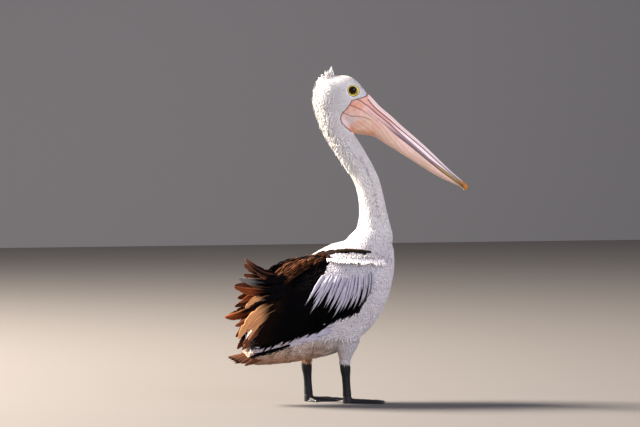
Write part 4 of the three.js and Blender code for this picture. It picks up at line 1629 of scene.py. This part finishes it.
crest_outs = np.cross(crest_ways, coat_random.normal(0, 1, (len(crest_roots), 3)))
crest_group = straight_tufts(
    crest_roots, crest_ways, crest_lengths, crest_outs, sunk=0.06, width=2.0, rib=0.5, shade=0.92
)
coat_piece("coat_head", [face_group, crest_group], WHITE_COAT)
coat_piece("coat_nape", [head_group, shag_group], WHITE_COAT)
coat_piece("coat_neck_upper", [upper_neck_group], WHITE_COAT)
coat_piece("coat_neck_lower", [lower_neck_group], WHITE_COAT)

# ---- Plumage of the breast, belly and thighs ----
# Dense waterproof contour feathers, laid like shingles; cream-stained where the belly rubs the
# ground. The shank feathers are short and end in a ragged cuff.
BREAST_COAT = {
    "spacing": 2.6, "length": 17, "width": 3.7, "height": 2.4, "shade": 0.98, "stray": 0.08,
}
breast_group = tuft_group(feathered & in_breast, **BREAST_COAT)
thigh_group = tuft_group(
    feathered & in_thigh,
    spacing=2.7, length=13, width=2.8, height=1.9, lift=0.02, shade=0.93, stray=0.12,
)
belly = in_back & (middle_body[:, 2] < 215)
belly |= in_back & (outward < 24) & (middle_body[:, 2] < 300)
belly_group = tuft_group(
    feathered & belly,
    spacing=3.3, length=20, width=4.4, height=3.2, lift=0.06, shade=0.84, stray=0.22,
)
cuff = in_thigh & (middle_body[:, 2] < 138) & (triangle_middles[:, 2] > 118 * MM)
cuff_roots, cuff_normals = roots_in(feathered & cuff, 2.2)
cuff_ways = cuff_normals * (1, 1, 0) * 0.22 + np.array([-0.05, 0, -1.0])
cuff_ways = unit(cuff_ways + coat_random.normal(0, 0.06, cuff_ways.shape))
cuff_lengths = coat_random.uniform(9, 18, len(cuff_roots))
cuff_outs = cuff_normals * (1, 1, 0) + 1e-6
cuff_group = straight_tufts(
    cuff_roots, cuff_ways, cuff_lengths, cuff_outs, sunk=0.1, width=2.6, rib=0.4, shade=0.9
)
coat_piece("coat_breast", [breast_group], WHITE_COAT)
coat_piece("coat_belly", [belly_group], WHITE_COAT)
coat_piece("coat_thighs", [thigh_group, cuff_group], WHITE_COAT)

# ---- Plumage of the back and the wing's ground colour ----
# White mantle between the shoulders, brown-black back and folded wings behind it. At the edge
# of the shoulder the small coverts stand up in a soft white ledge.
upper_part = in_back & ~belly
upper_dark = darkness(triangle_middles) > 0.5
mantle_group = tuft_group(feathered & upper_part & ~upper_dark, **BREAST_COAT)
ground_group = tuft_group(
    feathered & upper_part & upper_dark,
    spacing=6.2, length=30, width=11, height=1.6, shade=0.7, stray=0.1,
)
on_ledge = (middle_body[:, 2] > 447) & (middle_body[:, 2] < 470) & (outward > 48)
on_ledge &= (middle_body[:, 0] > 15) & (middle_body[:, 0] < 208) & ~upper_dark


def ledge_height(points):
    """Full between the two ends of the ledge and along its lower edge."""
    body = in_body(points)
    between_ends = ease(body[:, 0], 14, 36) * ease(-body[:, 0], -208, -180)
    return 3.2 + 4.6 * between_ends * ease(-body[:, 2], -470, -452)


DOWNWARD = np.array([-0.08, 0, -1.0])
ledge_group = tuft_group(
    feathered & on_ledge,
    spacing=2.4, length=15, width=3.2, height=ledge_height, lift=0.16, shade=0.97, stray=0.1,
    way=DOWNWARD,
)
coat_piece("coat_mantle", [mantle_group, ledge_group], WHITE_COAT)
coat_piece("coat_wing_ground", [ground_group], DARK_COAT)

# ---- Long feathers of the folded wings ----
# White lance-shaped coverts hang over the brown-black flight feathers and part into separate
# points, under a fringe at the edge of the shoulder. Each row below is x and z of the root, x
# and z of the tip, and the width, in millimetres.
LANCE_AT = (0.0, 0.12, 0.3, 0.5, 0.7, 0.87, 1.0)
LANCE_WIDE = (0.35, 0.8, 1.0, 0.92, 0.66, 0.34, 0.0)

CLEAR_OF_BODY = 260  # mm from the mid-plane, from where the skin is looked for inwards
SIDE_REACH = 250 * MM
SIDE_GUESS = 190 * MM  # where none is met, the skin nearest to this far inwards is taken


def side_spots(places, side):
    """The points on the bird's side with the given x and z, and how the skin faces there."""
    spots, facings = [], []
    for x, z in places:
        start = np.array([x, side * CLEAR_OF_BODY, z]) * MM + body_origin
        hit = skin_tree.ray_cast(Vector(start), Vector((0, -side, 0)), SIDE_REACH)
        if hit[0] is None:
            hit = skin_tree.find_nearest(Vector(start - np.array([0, side * SIDE_GUESS, 0])))
        spots.append(hit[0])
        facings.append(hit[1])
    return np.array(spots), np.array(facings)


LANCE_RISE = (-0.3, 0.75, 1, 1, 1, 1, 0.95)
PLUME_RISE = (-0.3, 0.05, 0.4, 0.75, 0.95, 1, 0.95)  # the roots pass under the shoulder's ledge


def lances(rows, side, height, tints, rib, droop=0.12, tip_lift=0.0, core=0.97, rise=LANCE_RISE):
    """Long pointed feathers laid from each root towards its tip, height mm over the skin."""
    rows = np.asarray(rows, float)
    roots, normals = side_spots(rows[:, :2], side)
    reach = rows[:, 2:4] - rows[:, :2]
    ways = np.stack([reach[:, 0], np.zeros(len(rows)), reach[:, 1]], 1)
    ways = tangent(ways, normals)
    lengths = np.linalg.norm(reach, axis=1)
    heights = np.broadcast_to(height, len(rows))[:, None] * np.asarray(rise)
    ribs, outs = laid(roots, normals, ways, lengths, heights, LANCE_AT, tip_lift)
    return leaves(ribs, outs, rows[:, 4], LANCE_WIDE, LANCE_AT, rib, tints, droop, core)


# The line of the lowest plumes' tips, and how far they lean forward and reach up, by their x.
PLUME_X = [-84, -78, -68, -50, -32, -13, 6, 23, 44, 70, 96, 117, 136, 146]
PLUME_TIP_Z = [315, 297, 274, 288, 290, 276, 263, 265, 277, 284, 302, 330, 350, 385]
LEAN_X, LEAN = [-84, -68, -13, 44, 90], [0.62, 0.58, 0.46, 0.28, 0.18]
REACH_X, REACH = [-80, 60, 105, 146], [126, 118, 84, 46]
PLUME_BACK, PLUME_SPAN = -82, 213  # x of the hindmost tip, and the length of the row
PLUME_ROOT_TOP = 414  # the roots lie under the shoulder's ledge
PLUME_TIP_TOP = 425
PLUME_WIDTH = 8.5
LOCKS = 18  # the plumes hang together in this many parted locks
PLUME_TIERS = (0, 11, 24, 40)  # how far each tier's tips hang above the lowest ones


def plume_rows():
    """Hanging coverts, the lowest and longest row first, each higher row a little shorter."""
    rows, tiers = [], []
    locks = (np.arange(LOCKS) + coat_random.uniform(0.15, 0.85, LOCKS)) / LOCKS
    lock_drop = coat_random.uniform(-9, 8, LOCKS)
    for tier, up in enumerate(PLUME_TIERS):
        for lock, drop in zip(locks, lock_drop):
            coat_random.random(2)  # passed over, so that the draws after it stay in their order
            share = lock + coat_random.uniform(-0.004, 0.004)
            drop = drop + coat_random.uniform(-3, 3)
            tip_x = PLUME_BACK + PLUME_SPAN * share
            lean = np.interp(tip_x, LEAN_X, LEAN)
            tip_z = np.interp(tip_x, PLUME_X, PLUME_TIP_Z) + up + drop
            if tip_z > PLUME_TIP_TOP:
                continue
            root_z = min(PLUME_ROOT_TOP, tip_z + np.interp(tip_x, REACH_X, REACH) - 0.5 * up)
            tip_x += lean * up * 0.8
            rows.append((tip_x + lean * (root_z - tip_z), root_z, tip_x, tip_z, PLUME_WIDTH))
            tiers.append(tier)
    return np.array(rows), np.array(tiers)


def tinted(colour, count, spread=0.06):
    """The colour for each of several feathers, some a little lighter and some darker."""
    shade = coat_random.uniform(1 - spread, 1 + spread, count)[:, None]
    return np.asarray(colour)[None, :] * shade


# The white plumes and flank feathers are painted in lavender-grey shade, darkest at their roots.
PLUME_SHADE_WHITE = rgb("#bfbcc9")
PLUME_ROOT_SHADE = rgb("#a5a2b1")
SCAPULAR_BROWN = rgb("#8a5636")
SCAPULAR_DARK = rgb("#1c0e09")
STRIPE_OLIVE = rgb("#261d15")
FRINGE_COUNT = 64
FRINGE_BACK, FRINGE_SPAN = 6, 174  # x of its hind end, and its length
FRINGE_TOP = 450
FLANK_COUNT = 150
POINT_COUNT = 44
LONG_POINT = 4  # every fourth point of the wing's edge is a long one
STREAK_POINTS = [
    (-118, 190, -186, 166, 9),
    (-140, 183, -212, 157, 11),
    (-162, 174, -234, 150, 10),
    (-150, 177, -222, 151, 9),
    (-186, 165, -250, 143, 9),
]
SCAPULAR_COUNT = 210
SCAPULAR_FRONT, SCAPULAR_SPAN = 22, 220
# The upper line of the scapulars' roots, and how far below it they reach, by their x.
TOP_X, TOP_Z = [-226, -61, -20, 22], [415, 470, 469, 461]
DEPTH_X, DEPTH = [-152, -114, -71, -20, 5, 22], [62, 58, 48, 29, 13, 5]
# The long dark feathers beside the mantle.
STRIPE = [
    (152, 466, 84, 473, 9),
    (136, 469, 62, 474, 11),
    (112, 472, 36, 474, 12),
    (90, 474, 14, 474, 13),
    (66, 474, -8, 473, 14),
    (40, 474, -34, 471, 14),
    (14, 473, -60, 467, 14),
    (124, 468, 50, 472, 9),
    (70, 471, -4, 470, 11),
]
# The edge of the dark wing from the breast to its tip, and the way along it.
wing_edge = np.array(WING_LOWER, float)
edge_run = np.linalg.norm(np.diff(wing_edge, axis=0), axis=1)
edge_run = np.concatenate([[0], np.cumsum(edge_run)])


def at_edge(share):
    """x and z at a share of the way along the edge of the dark wing."""
    return [np.interp(share * edge_run[-1], edge_run, wing_edge[:, n]) for n in (0, 1)]


def fringe_rows():
    """The last small coverts of the shoulder's ledge, which end in a row of raised points."""
    rows = []
    for n in range(FRINGE_COUNT):
        x = FRINGE_BACK + FRINGE_SPAN * (n + coat_random.uniform(0, 1)) / FRINGE_COUNT
        rows.append((x, FRINGE_TOP, x - 3, FRINGE_TOP - coat_random.uniform(25, 42), 5.5))
    return rows


def flank_rows():
    """White flank feathers that overlap the lower edge of the dark wing."""
    rows = []
    for _ in range(FLANK_COUNT):
        x, z = at_edge(coat_random.uniform(0.3, 1))
        x, z = x + 16, z - coat_random.uniform(3, 24)
        size = coat_random.uniform(26, 46)
        rows.append((x, z, x - size, z + size * coat_random.uniform(-0.3, 0.1), 5.5))
    return rows


def point_rows():
    """Dark points that hang over that white edge, and the dark streak under the wing's tip."""
    rows = list(STREAK_POINTS)
    for n in range(POINT_COUNT):
        x, z = at_edge(0.03 + 0.94 * (n + coat_random.uniform(0, 1)) / POINT_COUNT)
        x, z = x + 10, z + 14
        size = coat_random.uniform(26, 30) + 18 * (n % LONG_POINT == 1)
        rows.append((x, z, x - 0.6 * size, z - 0.8 * size, 8.5))
    return rows


def scapular_rows():
    """Brown feathers at the back of the shoulder, lowest first, and the share of painted sunlight
    on each, more on the top rows.
    """
    rows, painted_sunlight = [], []
    for _ in range(SCAPULAR_COUNT):
        u, v = coat_random.random(2)
        x = SCAPULAR_FRONT - SCAPULAR_SPAN * u**0.85
        z = np.interp(x, TOP_X, TOP_Z) - 4 - v * np.interp(x, DEPTH_X, DEPTH)
        size = np.interp(x, [-150, -60, 10], [46, 32, 17]) * coat_random.uniform(0.8, 1.2)
        lean = coat_random.normal(0, 0.1)
        width = np.interp(x, [-150, 10], [10, 6]) * coat_random.uniform(0.85, 1.15)
        rows.append((x, z, x - (0.78 - lean) * size, z - (0.62 + lean) * size, width))
        painted_sunlight.append((0.2 + 1.1 * coat_random.random() ** 1.3) * (1 - 0.8 * v))
    order = np.argsort([row[1] for row in rows])
    return np.array(rows)[order], np.array(painted_sunlight)[order][:, None]


for side, word in SIDES:
    rows, tiers = plume_rows()
    count = len(rows)
    # Painted shade: the white plumes are greyed, and darker still at the root.
    tints = (tinted(PLUME_ROOT_SHADE, count), tinted(PLUME_SHADE_WHITE, count, 0.03))
    levels = 6.0 + 0.5 * tiers
    plumes = lances(rows, side, levels, tints, rib=0.8, rise=PLUME_RISE)
    rows = fringe_rows()
    tint = tinted(WHITE, len(rows), 0.02)
    tints = (tint, tint)
    fringe = lances(rows, side, height=6.6, tints=tints, rib=0.3, droop=0.05, tip_lift=0.46)
    coat_piece(f"plumes_{word}", [plumes, fringe], WHITE_COAT)

    rows = flank_rows()
    # Painted shade: these white flank feathers are greyed in the same way.
    tints = (tinted(PLUME_ROOT_SHADE, len(rows)), tinted(PLUME_SHADE_WHITE, len(rows)))
    flank = lances(rows, side, height=3.6, tints=tints, rib=0.6)
    coat_piece(f"flank_feathers_{word}", [flank], WHITE_COAT)

    rows = point_rows()
    tints = (tinted(SOOT, len(rows)), tinted(SOOT, len(rows)))
    points = lances(rows, side, height=6.0, tints=tints, rib=0.8)
    coat_piece(f"wing_edge_{word}", [points], DARK_COAT)

    rows, painted_sunlight = scapular_rows()
    levels = 2.6 + 4.2 * (rows[:, 1] - 340) / 130
    # Painted sunlight: the upper scapulars' tips are lighter brown, the rest stay dark.
    tip_tint = SCAPULAR_BROWN * painted_sunlight + SCAPULAR_DARK * (1 - painted_sunlight)
    tints = (tinted(SCAPULAR_DARK, len(rows), 0.2), tip_tint)
    stripe_tints = (tinted(STRIPE_OLIVE, len(STRIPE)), tinted(STRIPE_OLIVE, len(STRIPE), 0.15))
    scapulars = lances(rows, side, levels, tints, rib=0.8, droop=0.2, tip_lift=0.09, core=0.45)
    stripe = lances(STRIPE, side, height=4.6, tints=stripe_tints, rib=0.8, droop=0.1)
    coat_piece(f"scapulars_{word}", [scapulars, stripe], DARK_COAT)

# ---- Flight feathers, wind-blown feathers and tail ----
# Stiff vanes with a pale shaft. The long ones at the back of each wing are blown open, and their
# thin brown tips are painted orange for the sun that shines through them from behind.
VANE_AT = np.linspace(0, 1, 34)
VANE_ACROSS = np.array([-1, -0.7, -0.35, -0.06, 0.06, 0.35, 0.7, 1])
VANE_THICK = 0.7
SHAFT_HEIGHT = 0.5
VANE_CUP = 0.16  # how far the edges of a vane drop, as a share of its half width
BARB_GAPS, BARB_GAP = 3, 0.3  # how many gaps part the barbs, and how deep they cut in


def vane_width(t, blunt):
    """Share of the full width: narrow at the quill, broad after it, rounded to a point."""
    base = 0.22 + 0.78 * ease(t, 0, 0.32)
    return base * np.clip(1 - np.clip((t - blunt) / (1 - blunt), 0, 1) ** 2, 0, 1) ** 0.62


def vane_group(root, tip, facing, width, colours, bend, blunt, twist, rim_share=0.4):
    """One closed flight feather with a curved shaft, cupped vanes and a few parted barbs.

    bend and twist bow the shaft towards the way it faces and sideways, by shares of its length;
    blunt is where along it the tip begins; colours are those of root and tip, and the share of
    the length up to which the root's colour runs."""
    root, tip = np.asarray(root, float), np.asarray(tip, float)
    run = tip - root
    facing = facing - run * (facing @ run) / (run @ run)
    facing = facing / np.linalg.norm(facing)
    edge_way = np.cross(run / np.linalg.norm(run), facing)
    t = VANE_AT[:, None]
    bow = (facing * bend + edge_way * twist) * np.linalg.norm(run)
    rib = root + run * t + bow * 4 * t * (1 - t)
    runs = unit(np.gradient(rib, axis=0))
    side_way = unit(np.cross(runs, facing))
    out = unit(np.cross(side_way, runs))
    half = width * MM / 2 * vane_width(VANE_AT, blunt)
    half *= 1 + 0.04 * np.sin(VANE_AT * 23 + coat_random.uniform(0, 6))
    edges = np.ones((len(VANE_AT), 2))
    for _ in range(BARB_GAPS):
        at = coat_random.uniform(0.35, 0.9)
        which = coat_random.integers(0, 2)
        edges[:, which] -= BARB_GAP * fading(VANE_AT - at, 0.02)
    top = []
    for a in VANE_ACROSS:
        scale = edges[:, 0] if a < 0 else edges[:, 1]
        cup = -VANE_CUP * a * a * half
        shaft = SHAFT_HEIGHT * MM if abs(a) < 0.1 else 0.0
        wave = 0.03 * half * np.sin(VANE_AT * 31 + 2.5 * a) * abs(a)
        spot = rib + side_way * (a * half * scale)[:, None]
        top.append(spot + out * (cup + shaft * (1 - VANE_AT) + wave)[:, None])
    top = np.stack(top, 1)
    under = top[:, ::-1] - out[:, None] * VANE_THICK * MM
    rings = np.concatenate([top, under], 1)
    stations, wide = rings.shape[:2]
    quads = ringed(stations, wide)[:, TURNED_OVER]
    last = (stations - 1) * wide
    caps = []
    for a in range(wide // 2 - 1):
        b, c, d = a + 1, wide - 2 - a, wide - 1 - a
        caps += [(a, d, c, b), (last + a, last + b, last + c, last + d)]
    root_tint, tip_tint, dark_to = colours
    t = np.repeat(VANE_AT, wide)
    tint = mixed(np.tile(root_tint, (len(t), 1)), tip_tint, ease(t, dark_to, dark_to + 0.34))
    ring_across = np.tile(np.concatenate([VANE_ACROSS, VANE_ACROSS[::-1]]), stations)
    across = np.abs(ring_across)
    rim = mixed(tip_tint, TIP_SAND, 0.4 * float(tip_tint[0] > 2 * SOOT[0]))
    tint = mixed(tint, rim, rim_share * ease(across, 0.75, 1.0) * ease(t, 0.2, 0.6))
    tint = np.where((across < 0.1)[:, None], mixed(tint, tip_tint, 0.8 * rim_share), tint)
    barbs = 0.9 + 0.16 * np.sin(t * 150 + across * 14) * np.sin(t * 37 + 3)
    tint = tint * barbs[:, None]
    return {
        "points": rings.reshape(-1, 3),
        "quads": np.concatenate([quads, np.array(caps)]),
        "triangles": np.zeros((0, 3), int),
        "tint": tint,
        "patch": np.stack([ring_across / 2, t - 0.5], 1),
        "roots": np.tile(root, (stations * wide, 1)),
    }


TIP_BROWN = rgb("#6f4431")
# Painted glow: sunlight shining through the thin brown tips, shown as orange.
TIP_GLOW_ORANGE = rgb("#773a1c")
TIP_SAND = rgb("#d49a67")
TIP_GREY = rgb("#706d67")
# The wind-blown feathers of each wing: root x and z, tip x, z and distance from the mid-plane,
# width, how far the shaft curves upwards, colour of the tip and how far the dark part runs.
BLOWN_RIGHT = [
    (-150, 404, -266, 454, 62, 27, 0.14, TIP_BROWN, 0.66),
    (-150, 392, -226, 408, 58, 22, 0.08, TIP_BROWN, 0.45),
    (-166, 378, -289, 393, 66, 27, 0.05, TIP_GREY, 0.45),
    (-160, 366, -250, 372, 56, 22, 0.04, TIP_BROWN, 0.5),
    (-175, 352, -300, 367, 56, 25, 0.07, TIP_GLOW_ORANGE, 0.3),
    (-176, 346, -276, 316, 46, 20, -0.1, TIP_GLOW_ORANGE, 0.25),
    (-176, 340, -262, 300, 50, 20, -0.12, TIP_SAND, 0.25),
    (-180, 332, -308, 270, -14, 34, 0.06, TIP_GLOW_ORANGE, 0.52),
    (-176, 306, -292, 246, 40, 26, 0.04, TIP_BROWN, 0.35),
    (-172, 300, -288, 222, 46, 26, 0.0, TIP_BROWN, 0.4),
    (-170, 318, -289, 206, 66, 31, -0.1, TIP_SAND, 0.12),
    (-164, 300, -264, 226, 74, 16, -0.08, TIP_SAND * 0.75, 0.25),
    (-168, 296, -259, 204, 72, 15, -0.1, TIP_SAND * 0.9, 0.25),
    (-178, 280, -270, 188, 50, 24, 0.0, TIP_BROWN, 0.4),
    (-116, 396, -214, 384, 76, 26, 0.04, SOOT, 0.5),
    (-120, 372, -212, 352, 80, 28, 0.0, SOOT, 0.5),
    (-128, 350, -206, 322, 82, 26, -0.04, SOOT, 0.5),
    (-205, 226, -266, 172, 30, 22, 0.0, TIP_BROWN, 0.4),
]
BLOWN_LEFT = [
    (-155, 404, -228, 432, 60, 26, 0.1, TIP_BROWN, 0.45),
    (-150, 388, -232, 400, 56, 24, 0.06, TIP_BROWN, 0.5),
    (-165, 376, -263, 366, 52, 26, 0.05, TIP_BROWN, 0.4),
    (-170, 346, -250, 326, 62, 26, 0.0, TIP_GLOW_ORANGE, 0.35),
    (-172, 318, -288, 268, 54, 30, 0.05, TIP_BROWN, 0.4),
    (-168, 336, -262, 300, 54, 24, 0.0, TIP_BROWN, 0.4),
    (-172, 292, -256, 238, 52, 28, 0.0, TIP_SAND, 0.3),
    (-178, 280, -262, 206, 44, 26, 0.0, TIP_BROWN, 0.4),
    (-205, 226, -262, 170, 28, 22, 0.0, TIP_BROWN, 0.4),
]


def at_body(x, y, z):
    return np.array([x, y, z]) * MM + body_origin


ROOT_SUNK = 2 * MM
FOLDED_COUNT = 11
FOLDED_WIDTH = 23


def folded_quill(n, side):
    """One of the folded quills that lie over one another down the flank."""
    root_x, root_z = -20 - 7 * n, 362 - 13 * n
    tip_x, tip_z = -196 - 5.5 * n, 322 - 14.6 * n
    spots, facings = side_spots([(root_x, root_z), (tip_x, tip_z)], side)
    root = spots[0] + facings[0] * (1.0 + 0.2 * n) * MM
    tip = spots[1] + facings[1] * (2.5 + 0.2 * n) * MM
    middle, out = side_spots([((root_x + tip_x) / 2, (root_z + tip_z) / 2)], side)
    bulge = (middle[0] - (root + tip) / 2) @ out[0] + (3.0 + 0.2 * n) * MM
    bend = bulge / np.linalg.norm(tip - root)
    colours = (SOOT, mixed(SOOT, BROWN, 0.08), 0.5)
    return vane_group(
        root, tip, out[0], FOLDED_WIDTH, colours, bend, blunt=0.7, twist=0.0, rim_share=0.0
    )


for (side, word), table in zip(SIDES, (BLOWN_RIGHT, BLOWN_LEFT)):
    groups = []
    for root_x, root_z, tip_x, tip_z, tip_y, width, curve, tip_tint, dark_to in table:
        spots, facings = side_spots([(root_x, root_z)], side)
        root = spots[0] - facings[0] * ROOT_SUNK
        facing = np.array([0.35, side, 0.3]) + coat_random.normal(0, 0.08, 3)
        colours = (SOOT * 1.5, tip_tint, dark_to)
        bend = 0.16 if tip_y < 0 else coat_random.uniform(-0.02, 0.04)
        tip = at_body(tip_x, side * tip_y, tip_z)
        groups.append(
            vane_group(root, tip, facing, width, colours, bend, blunt=0.42, twist=side * curve)
        )
    groups += [folded_quill(n, side) for n in range(FOLDED_COUNT)]
    # One small white feather hangs down behind the others.
    root, tip = at_body(-232, side * 34, 216), at_body(-240, side * 30, 146)
    facing = np.array([0.2, side, 0.1])
    # Its root is darkened with painted shade.
    colours = (PLUME_SHADE_WHITE * 0.9, WHITE, 0.1)
    groups.append(
        vane_group(root, tip, facing, 9, colours, bend=0.02, blunt=0.5, twist=0.1 * side)
    )
    coat_piece(f"flight_feathers_{word}_vanes", groups, DARK_COAT)

# The tail is a fan of stiff feathers, the middle ones longest and highest.
TAIL_COUNT = 15
TAIL_ROOT_X = -160
TAIL_LENGTH, TAIL_SHORTER = 141, 36
TAIL_WIDTH = 19
groups = []
for n in range(TAIL_COUNT):
    across = 2 * n / (TAIL_COUNT - 1) - 1
    root = at_body(TAIL_ROOT_X, 20 * across, 172 - 8 * across * across)
    reach = (TAIL_LENGTH - TAIL_SHORTER * across * across) * coat_random.uniform(0.96, 1.0)
    tip = at_body(TAIL_ROOT_X - reach, 50 * across, 150 - 25 * across * across)
    facing = np.array([0.14, 1.3 * across, 1.0])
    tip_tint = mixed(TIP_BROWN, BROWN, coat_random.uniform(0.1, 1.0)) * 0.7
    bend = 0.015 + 0.01 * abs(across)
    colours = (SOOT, tip_tint, 0.3)
    groups.append(
        vane_group(
            root, tip, facing, TAIL_WIDTH, colours, bend, blunt=0.6, twist=0.0, rim_share=0.35
        )
    )
coat_piece("tail_vanes", groups, DARK_COAT, "tail")
